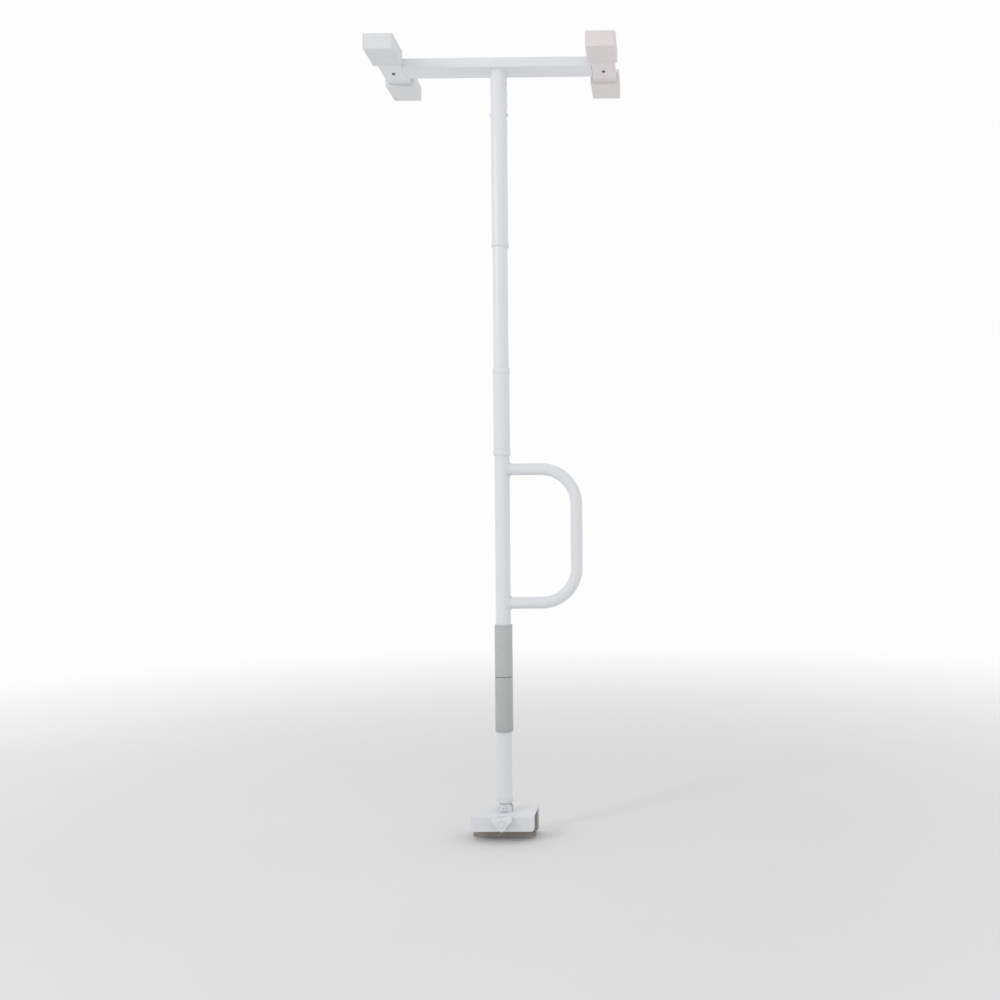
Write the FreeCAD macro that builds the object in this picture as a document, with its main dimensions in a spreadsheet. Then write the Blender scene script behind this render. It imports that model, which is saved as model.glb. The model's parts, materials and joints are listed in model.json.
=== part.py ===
"""A tension grab pole that stands on a bathtub rim and presses four rubber pads against the ceiling.

The frame: +Z is up, +X is towards the D-shaped handle and -Y is towards the outside of the tub.
The origin is on the pole's axis, at the underside of the liner that sits on the rim.
All sizes are in millimetres.
"""

import FreeCAD, Part
import math
import os
import re
from types import SimpleNamespace

import Sketcher

Vector = FreeCAD.Vector

SIZES = {
    # fits
    "running_gap": 0.07,
    "seated_gap": 0.05,
    "soft_gap": 0.15,
    "moving_gap": 0.3,
    "spare_travel": 1.0,
    "overcut": 1.0,
    # saddle over the rim
    "saddle_width": 160.0,
    "saddle_front": 38.0,
    "saddle_depth": 94.0,
    "saddle_plate": 5.0,
    "saddle_bend": 8.0,
    "front_drop": 35.0,
    "rear_drop": 60.0,
    "seat_liner": 3.0,
    "rear_liner": 5.0,
    "liner_inset": 4.0,
    # rim clamp
    "screw_radius": 5.0,
    "screw_drop": 11.0,
    "screw_play": 1.0,
    "nut_radius": 10.0,
    "nut_thickness": 7.0,
    "clamp_retract": 10.0,
    "clamp_advance": 2.0,
    "cup_radius": 8.6,
    "cup_depth": 4.0,
    "cup_lip": 1.0,
    "clip_width": 1.6,
    "clip_thickness": 1.0,
    "pressure_plate": 3.0,
    "plate_inset": 1.0,
    "pad_thickness": 8.0,
    "pad_top": 3.0,
    "pad_bottom": 57.0,
    "knob_thickness": 20.0,
    "knob_hub": 15.0,
    "knob_lobe": 9.5,
    "knob_reach": 19.0,
    "knob_tail": 9.5,
    "knob_edge": 2.0,
    "knob_grip": 14.0,
    "knob_cap": 9.0,
    "knob_cap_depth": 2.0,
    # foot pivot
    "ear_width": 38.0,
    "ear_height": 20.0,
    "ear_thickness": 4.0,
    "ear_corner": 11.0,
    "pivot_rise": 10.0,
    "pivot_bolt": 4.0,
    "bolt_head": 6.5,
    "bolt_head_depth": 5.0,
    "bolt_nut": 7.28,
    "pivot_washer": 8.0,
    "pivot_washer_thickness": 1.6,
    "eye_radius": 9.5,
    "eye_depth": 20.6,
    "tilt_gap": 2.0,
    "stud_radius": 8.0,
    "thrust_washer": 16.0,
    "thrust_thickness": 2.0,
    "plug_length": 40.0,
    "collar_wall": 1.3,
    "collar_length": 12.0,
    # tubes
    "tube_radius": 19.05,
    "tube_wall": 1.6,
    "sleeve_wall": 1.53,
    "ring_wall": 1.1,
    "grip_seam": 353.0,
    "seam_gap": 2.0,
    "grip_wall": 4.0,
    "lower_grip": 140.0,
    "upper_grip": 132.0,
    "grip_edge": 3.0,
    # tension jack
    "bush_wall": 1.43,
    "guide_wall": 1.6,
    "guide_rise": 77.0,
    "guide_root": 70.0,
    "spacer_length": 45.0,
    "bush_length": 40.0,
    "rod_radius": 8.0,
    "rod_plug": 12.0,
    "jack_nut": 30.0,
    "jack_nut_gap": 6.0,
    "jack_travel": 42.0,
    "stop_width": 4.0,
    "stop_thickness": 4.0,
    "nut_screw": 2.5,
    "nut_screw_gap": 1.5,
    # pole
    "handle_tube": 676.0,
    "butt_gap": 2.0,
    "coupler_overlap": 112.0,
    "coupler_length": 222.0,
    "coupler_ring": 14.0,
    "set_screw": 3.0,
    "set_screw_proud": 1.2,
    "set_screw_inset": 55.0,
    "extension_tube": 768.0,
    "cap_top": 3.0,
    "cap_skirt": 7.0,
    # D-handle
    "arm_radius": 15.0,
    "arm_wall": 2.0,
    "lower_arm": 541.0,
    "upper_arm": 882.0,
    "handle_reach": 189.0,
    "handle_bend": 90.0,
    "weld_leg": 6.0,
    "weld_throat": 4.2,
    "weld_edge": 0.4,
    # height catch
    "hole_pitch": 25.4,
    "button_below_top": 19.0,
    "button_radius": 4.0,
    "button_proud": 1.95,
    "button_inset": 1.65,
    "button_shim": 0.8,
    "button_flange": 5.0,
    "button_flange_depth": 0.5,
    "tube_hole": 5.0,
    "sleeve_hole": 4.6,
    "spring_gauge": 0.8,
    "spring_width": 9.0,
    "spring_length": 88.0,
    "spring_root": 8.0,
    "spring_drop": 81.0,
    "leg_overlap": 0.1,
    # head
    "stem_length": 442.0,
    "stem_ring": 11.5,
    "stem_weld_leg": 4.35,
    "stem_weld_height": 6.5,
    "head_gap": 88.5,
    "bar_height": 25.0,
    "bar_width": 60.0,
    "bar_wall": 2.0,
    "bar_corner": 3.0,
    "pad_spread": 534.0,
    "end_bar_length": 270.0,
    "boot_wall": 7.5,
    "boot_length": 85.0,
    "boot_edge": 3.0,
    "tongue_width": 44.0,
    "tongue_thickness": 5.0,
    "tongue_inside": 40.0,
    "tongue_end_gap": 8.0,
    "end_bolt": 2.5,
    "end_bolt_head": 4.25,
    "end_bolt_head_depth": 2.5,
}

HOLES_EACH_WAY = 3
LOBE_RISE = 30.0
SIDES = {"left": -1, "right": 1}
ENDS = {"front": -1, "rear": 1}

val = SimpleNamespace(**SIZES)
doc = FreeCAD.newDocument("tub_grab_pole")
nodes = []


# --- the sheet and the ways to bind to it ---


def make_sheet():
    """Write every driving size into the document's sheet, one aliased cell each."""
    sheet = doc.addObject("Spreadsheet::Sheet", "Sizes")
    for row, (name, number) in enumerate(SIZES.items(), 1):
        sheet.set(f"A{row}", name)
        sheet.set(f"B{row}", str(number))
        sheet.setAlias(f"B{row}", name)
    doc.recompute()


def linked(expression):
    """Return the expression with each size's name turned into a reference to the sheet."""

    def reference(match):
        word = match.group()
        return f"Sizes.{word}" if word in SIZES else word

    return re.sub(r"[A-Za-z_]\w*", reference, str(expression))


def bind(thing, **expressions):
    """Bind properties of an object to expressions in the sheet's sizes."""
    for name, expression in expressions.items():
        thing.setExpression(name, linked(expression))
    return thing


def place(thing, at):
    """Bind an object's position to three expressions."""
    for axis, expression in zip("xyz", at):
        thing.setExpression(f"Placement.Base.{axis}", linked(expression))
    return thing


TURNS = {
    "X": FreeCAD.Rotation(Vector(0, 1, 0), 90),
    "Y": FreeCAD.Rotation(Vector(1, 0, 0), -90),
    "Z": FreeCAD.Rotation(),
}


def box(length, width, height, at):
    """A block with its low corner at the given place."""
    block = doc.addObject("Part::Box", "block")
    bind(block, Length=length, Width=width, Height=height)
    return place(block, at)


def rod(radius, length, at, axis="Z"):
    """A cylinder that runs from the given place along an axis."""
    cylinder = doc.addObject("Part::Cylinder", "rod")
    cylinder.Placement.Rotation = TURNS[axis]
    bind(cylinder, Radius=radius, Height=length)
    return place(cylinder, at)


def cone(first, last, length, at, axis="Z"):
    """A cone frustum that runs from the given place along an axis."""
    frustum = doc.addObject("Part::Cone", "frustum")
    frustum.Placement.Rotation = TURNS[axis]
    bind(frustum, Radius1=first, Radius2=last, Height=length)
    return place(frustum, at)


def cut(base, *tools):
    """The base with each tool taken away."""
    for tool in tools:
        step = doc.addObject("Part::Cut", "cut")
        step.Base, step.Tool = base, tool
        step.Refine = True
        base = step
    return base


def fuse(base, *others):
    """The base joined with each other shape."""
    for other in others:
        step = doc.addObject("Part::Fuse", "fuse")
        step.Base, step.Tool = base, other
        step.Refine = True
        base = step
    return base


def runs_along(axis):
    """A test for straight edges that are parallel to an axis."""

    def chosen(edge):
        if edge.Curve.TypeId != "Part::GeomLine":
            return False
        return abs(edge.tangentAt(edge.FirstParameter).dot(axis)) > 0.999

    return chosen


def rounded(source, radius, chosen):
    """The source with the chosen edges rounded."""
    doc.recompute()
    fillet = doc.addObject("Part::Fillet", "rounded")
    fillet.Base = source
    edges = enumerate(source.Shape.Edges, 1)
    fillet.Edges = [(i, radius, radius) for i, edge in edges if chosen(edge)]
    return fillet


def node(label, thing):
    """Name an object as one of the assembly's sub-parts."""
    thing.Label = label
    nodes.append(thing)
    return thing


def ring(label, outer, inner, bottom, length):
    """A tube, ring or bush on the pole's axis."""
    solid = rod(outer, length, ("0", "0", bottom))
    bore = rod(inner, f"{length} + 2 * overcut", ("0", "0", f"{bottom} - overcut"))
    return node(label, cut(solid, bore))


def origin_plane(body, role):
    """One of a body's own origin planes."""
    return next(f for f in body.Origin.OriginFeatures if f.Role == role)


def sketch_in(body, name, role, offset=0.0):
    """A sketch on one of the body's origin planes, moved along its normal."""
    sketch = body.newObject("Sketcher::SketchObject", name)
    sketch.AttachmentSupport = [(origin_plane(body, role), "")]
    sketch.MapMode = "FlatFace"
    sketch.AttachmentOffset = FreeCAD.Placement(Vector(0, 0, offset), FreeCAD.Rotation())
    return sketch


def add_circle(sketch, radius, centre=(0.0, 0.0)):
    """A circle in a sketch with its radius bound to the sheet."""
    curve = Part.Circle(Vector(*centre, 0), Vector(0, 0, 1), 1.0)
    index = sketch.addGeometry(curve)
    number = sketch.addConstraint(Sketcher.Constraint("Radius", index, 1.0))
    sketch.setExpression(f"Constraints[{number}]", linked(radius))
    return index


# --- where things stand, from the sizes ---

SADDLE_TOP = "(seat_liner + saddle_plate)"
FRONT_FACE = "(-saddle_front)"
FLANGE_INSIDE = "(saddle_plate - saddle_front)"
REAR_FACE = "(saddle_depth - saddle_front)"
NUT_BACK = f"({FLANGE_INSIDE} + nut_thickness)"
PLATE_FRONT = f"({NUT_BACK} + clamp_retract + cup_depth + spare_travel)"
PAD_FRONT = f"({PLATE_FRONT} + pressure_plate)"
KNOB_BACK = f"({FRONT_FACE} - clamp_advance - spare_travel)"
KNOB_FRONT = f"({KNOB_BACK} - knob_thickness)"
SCREW_START = f"({KNOB_BACK} - knob_grip)"
SCREW_TIP = f"({PLATE_FRONT} - seated_gap)"
PIVOT = f"({SADDLE_TOP} + pivot_rise)"
EAR_INSIDE = "(eye_depth / 2 + moving_gap)"
EAR_OUTSIDE = f"({EAR_INSIDE} + ear_thickness)"
NECK_TOP = f"({SADDLE_TOP} + ear_height + tilt_gap)"
TUBE_FOOT = f"({NECK_TOP} + thrust_thickness)"
TUBE_BORE = "(tube_radius - tube_wall)"
PLUG_RADIUS = f"({TUBE_BORE} - seated_gap)"
GUIDE_RADIUS = f"({PLUG_RADIUS} - bush_wall - running_gap)"
LOWER_TOP = "(grip_seam - seam_gap / 2)"
HANDLE_FOOT = "(grip_seam + seam_gap / 2)"
GUIDE_TOP = "(grip_seam + guide_rise)"
GUIDE_FOOT = "(grip_seam - guide_root)"
JACK_NUT = f"({GUIDE_TOP} + jack_nut_gap)"
STOP = f"({JACK_NUT} + jack_nut + jack_travel + spare_travel)"
HANDLE_TOP = f"({HANDLE_FOOT} + handle_tube)"
COUPLER_BOTTOM = f"({HANDLE_TOP} - coupler_overlap)"
EXTENSION_FOOT = f"({HANDLE_TOP} + butt_gap)"
EXTENSION_TOP = f"({EXTENSION_FOOT} + extension_tube)"
BUTTON_HEIGHT = f"({EXTENSION_TOP} - button_below_top)"
BAR_BOTTOM = f"({EXTENSION_TOP} + head_gap)"
STEM_BOTTOM = f"({BAR_BOTTOM} - stem_length)"
SLEEVE_BORE = "(tube_radius + running_gap)"
SLEEVE_RADIUS = f"({SLEEVE_BORE} + sleeve_wall)"
RING_BORE = f"({SLEEVE_RADIUS} + seated_gap)"
RING_RADIUS = f"({RING_BORE} + ring_wall)"
GRIP_BORE = "(tube_radius + soft_gap)"
BUTTON_TIP = f"({SLEEVE_RADIUS} + button_proud)"
BUTTON_SEAT = f"({TUBE_BORE} - button_inset)"
SPRING_FOOT = f"({BUTTON_HEIGHT} - spring_drop)"
BAR_FACE = "(pad_spread / 2 - bar_width / 2)"
BAR_FLOOR = f"({BAR_BOTTOM} + bar_wall)"
TONGUE_REACH = "(bar_width - bar_wall - tongue_end_gap)"
BOOT_OUTER = "(end_bar_length / 2 + boot_wall)"
BOOT_INNER = f"({BOOT_OUTER} - boot_length)"


# --- the saddle and its liners ---


def make_saddle():
    """An inverted U of pressed steel: a top plate, a short front flange and a long rear one."""
    outer = box(
        "saddle_width",
        "saddle_depth",
        f"{SADDLE_TOP} + rear_drop",
        ("-saddle_width / 2", FRONT_FACE, "-rear_drop"),
    )
    inner = box(
        "saddle_width + 2 * overcut",
        "saddle_depth - 2 * saddle_plate",
        "seat_liner + rear_drop + overcut",
        ("-saddle_width / 2 - overcut", FLANGE_INSIDE, "-rear_drop - overcut"),
    )
    step = box(
        "saddle_width + 2 * overcut",
        "saddle_plate + 2 * overcut",
        "rear_drop - front_drop + overcut",
        ("-saddle_width / 2 - overcut", f"{FRONT_FACE} - overcut", "-rear_drop - overcut"),
    )
    top = val.seat_liner + val.saddle_plate
    lengthwise = runs_along(Vector(1, 0, 0))
    on_top = top - val.saddle_plate
    shell = rounded(outer, val.saddle_bend, lambda e: lengthwise(e) and e.CenterOfMass.z > on_top)
    screw_hole = rod(
        "screw_radius + screw_play",
        "saddle_plate + 2 * overcut",
        ("0", f"{FRONT_FACE} - overcut", "-screw_drop"),
        "Y",
    )
    node("saddle", cut(shell, inner, step, screw_hole))


def make_liners():
    """The rubber sheets that keep the steel off the rim: one under the plate, one on the rear flange."""
    liner_width = "saddle_width - 2 * liner_inset"
    left = "-saddle_width / 2 + liner_inset"
    seat = box(
        liner_width,
        f"{REAR_FACE} - saddle_plate - rear_liner - {NUT_BACK} - liner_inset",
        "seat_liner",
        (left, f"{NUT_BACK} + liner_inset", "0"),
    )
    node("seat_liner", seat)
    rear = box(
        liner_width,
        "rear_liner",
        "rear_drop - liner_inset",
        (left, f"{REAR_FACE} - saddle_plate - rear_liner", "liner_inset / 2 - rear_drop"),
    )
    node("rear_liner", rear)


def make_clamp_nut():
    """The hexagonal nut welded behind the front flange."""
    prism = doc.addObject("Part::Prism", "hexagon")
    prism.Polygon = 6
    prism.Placement.Rotation = TURNS["Y"]
    bind(prism, Circumradius="nut_radius", Height="nut_thickness")
    place(prism, ("0", FLANGE_INSIDE, "-screw_drop"))
    thread = rod(
        "screw_radius + running_gap",
        "nut_thickness + 2 * overcut",
        ("0", f"{FLANGE_INSIDE} - overcut", "-screw_drop"),
        "Y",
    )
    node("clamp_nut", cut(prism, thread))


# --- the clamp that grips the rim ---


def make_pressure_plate():
    """The steel plate that spreads the screw's push, hidden behind the front flange."""
    plate = box(
        "saddle_width - 4 * liner_inset",
        "pressure_plate",
        "front_drop - pad_top - plate_inset",
        ("2 * liner_inset - saddle_width / 2", PLATE_FRONT, "1 - front_drop"),
    )
    node("pressure_plate", plate)


def make_clamp_pad():
    """The rubber pad on the pressure plate, which shows as a dark strip below the front flange."""
    pad = box(
        "saddle_width",
        "pad_thickness",
        "pad_bottom - pad_top",
        ("-saddle_width / 2", PAD_FRONT, "-pad_bottom"),
    )
    node("clamp_pad", rounded(pad, val.pad_thickness / 3, runs_along(Vector(0, 1, 0))))


def make_screw_cup():
    """The cup on the pressure plate that holds the screw's tip and lets it turn."""
    front = f"({PLATE_FRONT} - cup_depth)"
    outside = rod("cup_radius", "cup_depth", ("0", front, "-screw_drop"), "Y")
    through = rod(
        "screw_radius + running_gap",
        "cup_depth + 2 * overcut",
        ("0", f"{front} - overcut", "-screw_drop"),
        "Y",
    )
    recess = rod(
        "screw_radius + clip_width + moving_gap",
        "cup_depth",
        ("0", f"{front} + cup_lip", "-screw_drop"),
        "Y",
    )
    node("screw_cup", cut(outside, through, recess))


def make_clamp_screw():
    """The threaded rod from the knob to the pressure plate."""
    screw = rod(
        "screw_radius", f"{SCREW_TIP} - {SCREW_START}", ("0", SCREW_START, "-screw_drop"), "Y"
    )
    node("clamp_screw", screw)


def make_screw_clip():
    """The spring clip near the screw's tip that draws the pressure plate back."""
    start = f"({PLATE_FRONT} - cup_depth + cup_lip + moving_gap)"
    outside = rod("screw_radius + clip_width", "clip_thickness", ("0", start, "-screw_drop"), "Y")
    bore = rod(
        "screw_radius + seated_gap / 2",
        "clip_thickness + 2 * overcut",
        ("0", f"{start} - overcut", "-screw_drop"),
        "Y",
    )
    node("screw_clip", cut(outside, bore))


def make_hand_knob():
    """The moulded knob: a hub with two long lobes up and a short one down, bored and recessed."""
    body = doc.addObject("PartDesign::Body", "knob_body")
    hub_sketch = sketch_in(body, "hub_outline", "XY_Plane")
    add_circle(hub_sketch, "knob_hub")
    hub = body.newObject("PartDesign::Pad", "hub")
    hub.Profile = hub_sketch
    bind(hub, Length="knob_thickness")
    lobe_sketch = sketch_in(body, "lobe_outline", "XY_Plane")
    rise = math.radians(LOBE_RISE)
    middle = (val.knob_reach * math.cos(rise), val.knob_reach * math.sin(rise))
    add_circle(lobe_sketch, "knob_lobe", middle)
    lobe = body.newObject("PartDesign::Pad", "lobe")
    lobe.Profile = lobe_sketch
    bind(lobe, Length="knob_thickness")
    lobes = body.newObject("PartDesign::PolarPattern", "lobes")
    lobes.Originals = [lobe]
    lobes.Axis = (hub_sketch, ["N_Axis"])
    lobes.Angle = 180 - 2 * LOBE_RISE
    lobes.Occurrences = 2
    body.Tip = lobes
    tail_sketch = sketch_in(body, "tail_outline", "XY_Plane")
    add_circle(tail_sketch, "knob_lobe", (0.0, -val.knob_tail))
    tail = body.newObject("PartDesign::Pad", "tail")
    tail.Profile = tail_sketch
    tail.Refine = True
    bind(tail, Length="knob_thickness")
    body.Tip = tail
    doc.recompute()
    rims = [
        f"Edge{i}"
        for i, edge in enumerate(tail.Shape.Edges, 1)
        if abs(edge.CenterOfMass.z - val.knob_thickness) < 0.01 or abs(edge.CenterOfMass.z) < 0.01
    ]
    edge_round = body.newObject("PartDesign::Fillet", "edge_round")
    edge_round.Base = (tail, rims)
    bind(edge_round, Radius="knob_edge")
    bore = body.newObject("PartDesign::Pocket", "screw_bore")
    bore_sketch = sketch_in(body, "bore_outline", "XY_Plane")
    add_circle(bore_sketch, "screw_radius + seated_gap / 2")
    bore.Profile = bore_sketch
    bore.Reversed = True
    bind(bore, Length="knob_grip + seated_gap")
    recess = body.newObject("PartDesign::Pocket", "cap_recess")
    recess_sketch = sketch_in(body, "recess_outline", "XY_Plane", val.knob_thickness)
    add_circle(recess_sketch, "knob_cap + seated_gap")
    recess.Profile = recess_sketch
    bind(recess, Length="knob_cap_depth")
    body.Placement.Rotation = FreeCAD.Rotation(Vector(1, 0, 0), 90)
    place(body, ("0", KNOB_BACK, "-screw_drop"))
    body.Tip = recess
    node("hand_knob", body)


def make_knob_cap():
    """The plain disc that closes the knob's front."""
    cap = rod("knob_cap", "knob_cap_depth", ("0", KNOB_FRONT, "-screw_drop"), "Y")
    node("knob_cap", cap)


# --- the foot pivot ---


def make_pivot_ears():
    """Two arched plates welded across the saddle, with the pivot bolt's hole through both."""
    bolt_hole = ("0", f"-{EAR_OUTSIDE} - overcut", PIVOT)
    for end, side in ENDS.items():
        start = f"-{EAR_OUTSIDE}" if side < 0 else EAR_INSIDE
        plate = box("ear_width", "ear_thickness", "ear_height", ("-ear_width / 2", start, SADDLE_TOP))
        foot = val.seat_liner + val.saddle_plate
        crosswise = runs_along(Vector(0, 1, 0))
        middle = foot + val.ear_height / 2
        arch = rounded(plate, val.ear_corner, lambda e: crosswise(e) and e.CenterOfMass.z > middle)
        hole = rod("pivot_bolt + seated_gap", f"2 * {EAR_OUTSIDE} + 2 * overcut", bolt_hole, "Y")
        node(f"pivot_ear_{end}", cut(arch, hole))


def make_pivot_bolt():
    """The bolt through both ears and the eye, its head at the front."""
    washer_out = f"({EAR_OUTSIDE} + pivot_washer_thickness)"
    head = rod(
        "bolt_head", "bolt_head_depth", ("0", f"-{washer_out} - bolt_head_depth", PIVOT), "Y"
    )
    shank = rod(
        "pivot_bolt",
        f"2 * {washer_out} + bolt_head_depth + 3",
        ("0", f"-{washer_out} - overcut", PIVOT),
        "Y",
    )
    node("pivot_bolt", fuse(head, shank))
    bore_radius = "pivot_bolt + seated_gap / 2"
    nut = doc.addObject("Part::Prism", "hexagon")
    nut.Polygon = 6
    nut.Placement.Rotation = TURNS["Y"]
    bind(nut, Circumradius="bolt_nut", Height="bolt_head_depth")
    place(nut, ("0", washer_out, PIVOT))
    bore = rod(bore_radius, "bolt_head_depth + 2 * overcut", ("0", f"{washer_out} - overcut", PIVOT), "Y")
    node("pivot_nut", cut(nut, bore))
    washers = []
    for side in ENDS.values():
        start = f"-{washer_out}" if side < 0 else EAR_OUTSIDE
        disc = rod("pivot_washer", "pivot_washer_thickness", ("0", start, PIVOT), "Y")
        hole_at = ("0", f"{start} - overcut", PIVOT)
        hole = rod(bore_radius, "pivot_washer_thickness + 2 * overcut", hole_at, "Y")
        washers.append(cut(disc, hole))
    node("pivot_washers", fuse(*washers))


def make_swivel_eye():
    """The forged eye that tilts on the bolt, with the stud that the pole turns on."""
    eye = rod("eye_radius", "eye_depth", ("0", "-eye_depth / 2", PIVOT), "Y")
    neck = rod("eye_radius", f"{NECK_TOP} - {PIVOT}", ("0", "0", PIVOT))
    stud = rod("stud_radius", f"{TUBE_FOOT} + plug_length + 4 - {PIVOT}", ("0", "0", PIVOT))
    hole = rod(
        "pivot_bolt + running_gap", "eye_depth + 2 * overcut", ("0", "-eye_depth / 2 - overcut", PIVOT), "Y"
    )
    node("swivel_eye", cut(fuse(eye, neck, stud), hole))
    stud_bore = "stud_radius + seated_gap / 2"
    ring("thrust_washer", "thrust_washer", stud_bore, NECK_TOP, "thrust_thickness")
    clip_start = f"({TUBE_FOOT} + plug_length + moving_gap)"
    ring("stud_clip", "stud_radius + stop_width", stud_bore, clip_start, "clip_thickness")


# --- the turning lower half of the jack ---


def make_lower_half():
    """The lower tube with its foot plug, collar, grip and the guide tube and rod that it turns."""
    ring("foot_plug", PLUG_RADIUS, "stud_radius + running_gap", TUBE_FOOT, "plug_length")
    ring(
        "foot_collar",
        "tube_radius + seated_gap + collar_wall",
        "tube_radius + seated_gap",
        TUBE_FOOT,
        "collar_length",
    )
    ring("lower_tube", "tube_radius", TUBE_BORE, TUBE_FOOT, f"({LOWER_TOP} - {TUBE_FOOT})")
    spacer_start = f"({LOWER_TOP} - spacer_length)"
    guide_seat = f"{GUIDE_RADIUS} + seated_gap"
    ring("guide_spacer", PLUG_RADIUS, guide_seat, spacer_start, "spacer_length")
    guide_bore = f"({GUIDE_RADIUS} - guide_wall)"
    ring("guide_tube", GUIDE_RADIUS, guide_bore, GUIDE_FOOT, f"({GUIDE_TOP} - {GUIDE_FOOT})")
    rod_seat = "rod_radius + seated_gap"
    plug_start = f"({GUIDE_TOP} - rod_plug)"
    ring("rod_plug", f"{guide_bore} - seated_gap", rod_seat, plug_start, "rod_plug")
    shaft = rod("rod_radius", f"{STOP} + stop_thickness + 3 - {plug_start}", ("0", "0", plug_start))
    node("jack_rod", shaft)
    ring("rod_stop", "rod_radius + stop_width", rod_seat, STOP, "stop_thickness")


def make_grip(label, bottom, length):
    """A foam sleeve with rounded ends."""
    outside = rod(f"{GRIP_BORE} + grip_wall", length, ("0", "0", bottom))
    soft = rounded(outside, val.grip_edge, lambda e: e.Curve.TypeId == "Part::GeomCircle")
    bore = rod(GRIP_BORE, f"{length} + 2 * overcut", ("0", "0", f"{bottom} - overcut"))
    node(label, cut(soft, bore))


# --- the pole above the jack ---


def make_handle_tube():
    """The tube that carries the D-handle, with two cross holes for the jack nut's screws."""
    bottom = HANDLE_FOOT
    outside = rod("tube_radius", "handle_tube", ("0", "0", bottom))
    bore = rod(TUBE_BORE, "handle_tube + 2 * overcut", ("0", "0", f"{bottom} - overcut"))
    node("handle_tube", cut(outside, bore, nut_screw_holes()))


def nut_screw_holes():
    """The cross hole through the handle tube and the jack nut for the nut's two screws."""
    length = "2 * tube_radius + 2 * overcut"
    height = f"{JACK_NUT} + jack_nut / 2"
    return rod("nut_screw + seated_gap", length, ("0", "-tube_radius - overcut", height), "Y")


def make_jack_nut():
    """The round nut in the handle tube that the rod drives, and the screws that hold it."""
    outside = rod(PLUG_RADIUS, "jack_nut", ("0", "0", JACK_NUT))
    thread = rod("rod_radius + running_gap", "jack_nut + 2 * overcut", ("0", "0", f"{JACK_NUT} - overcut"))
    node("jack_nut", cut(outside, thread, nut_screw_holes()))
    height = f"{JACK_NUT} + jack_nut / 2"
    length = "(tube_radius - soft_gap - rod_radius - nut_screw_gap)"
    front = rod("nut_screw", length, ("0", "soft_gap - tube_radius", height), "Y")
    rear = rod("nut_screw", length, ("0", "rod_radius + nut_screw_gap", height), "Y")
    node("jack_nut_screws", fuse(front, rear))


def make_d_handle():
    """The bent tube of the D-handle, coped to the pole at both ends."""
    body = doc.addObject("PartDesign::Body", "d_handle_body")
    start = val.tube_radius - val.arm_radius / 2
    turn = val.handle_reach - val.handle_bend
    top, low = val.upper_arm, val.lower_arm
    bend = val.handle_bend
    path = sketch_in(body, "path", "XZ_Plane")
    middle = Vector(turn, top - bend, 0)
    upper = Part.ArcOfCircle(Part.Circle(middle, Vector(0, 0, 1), bend), 0.0, math.pi / 2)
    middle = Vector(turn, low + bend, 0)
    lower = Part.ArcOfCircle(Part.Circle(middle, Vector(0, 0, 1), bend), -math.pi / 2, 0.0)
    path.addGeometry(Part.LineSegment(Vector(start, top, 0), Vector(turn, top, 0)))
    path.addGeometry(upper)
    path.addGeometry(
        Part.LineSegment(Vector(turn + bend, top - bend, 0), Vector(turn + bend, low + bend, 0))
    )
    path.addGeometry(lower)
    path.addGeometry(Part.LineSegment(Vector(turn, low, 0), Vector(start, low, 0)))
    section = sketch_in(body, "section", "YZ_Plane", start)
    add_circle(section, "arm_radius", (0.0, top))
    add_circle(section, "arm_radius - arm_wall", (0.0, top))
    doc.recompute()
    pipe = body.newObject("PartDesign::AdditivePipe", "bent_tube")
    pipe.Profile = section
    pipe.Spine = (path, [f"Edge{i}" for i in range(1, 6)])
    body.Tip = pipe
    doc.recompute()
    cope_sketch = sketch_in(body, "cope_outline", "XY_Plane")
    add_circle(cope_sketch, "tube_radius + seated_gap")
    cope = body.newObject("PartDesign::Pocket", "cope")
    cope.Profile = cope_sketch
    cope.Type = "ThroughAll"
    cope.Reversed = True
    body.Tip = cope
    node("d_handle", body)


def make_handle_welds():
    """The weld bead around each end of the D-handle."""
    beads = []
    for height in ("upper_arm", "lower_arm"):
        foot = "tube_radius - arm_radius / 2"
        rise = "(arm_radius / 2 + weld_leg)"
        collar = cone("arm_radius + weld_throat", "arm_radius + weld_edge", rise, (foot, "0", height), "X")
        arm = rod("arm_radius + seated_gap", "3 * arm_radius", ("0", "0", height), "X")
        pole = rod("tube_radius + seated_gap", "4 * arm_radius", ("0", "0", f"{height} - 2 * arm_radius"))
        beads.append(cut(collar, arm, pole))
    node("d_handle_welds", fuse(*beads))


def make_coupler():
    """The sleeve that joins the handle tube and the extension tube, with its end rings and screws."""
    outside = rod(SLEEVE_RADIUS, "coupler_length", ("0", "0", COUPLER_BOTTOM))
    bore = rod(SLEEVE_BORE, "coupler_length + 2 * overcut", ("0", "0", f"{COUPLER_BOTTOM} - overcut"))
    holes, screws = [], []
    for height in (
        f"{COUPLER_BOTTOM} + set_screw_inset",
        f"{COUPLER_BOTTOM} + coupler_length - set_screw_inset",
    ):
        holes.append(rod("set_screw + seated_gap", SLEEVE_RADIUS, ("0", "tube_radius / 2", height), "Y"))
        screw_length = f"{SLEEVE_RADIUS} + set_screw_proud - tube_radius - seated_gap"
        screws.append(rod("set_screw", screw_length, ("0", "tube_radius + seated_gap", height), "Y"))
    node("coupler_sleeve", cut(outside, bore, *holes))
    node("coupler_screws", fuse(*screws))
    ring("coupler_ring_lower", RING_RADIUS, RING_BORE, COUPLER_BOTTOM, "coupler_ring")
    upper = f"({COUPLER_BOTTOM} + coupler_length - coupler_ring)"
    ring("coupler_ring_upper", RING_RADIUS, RING_BORE, upper, "coupler_ring")


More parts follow.
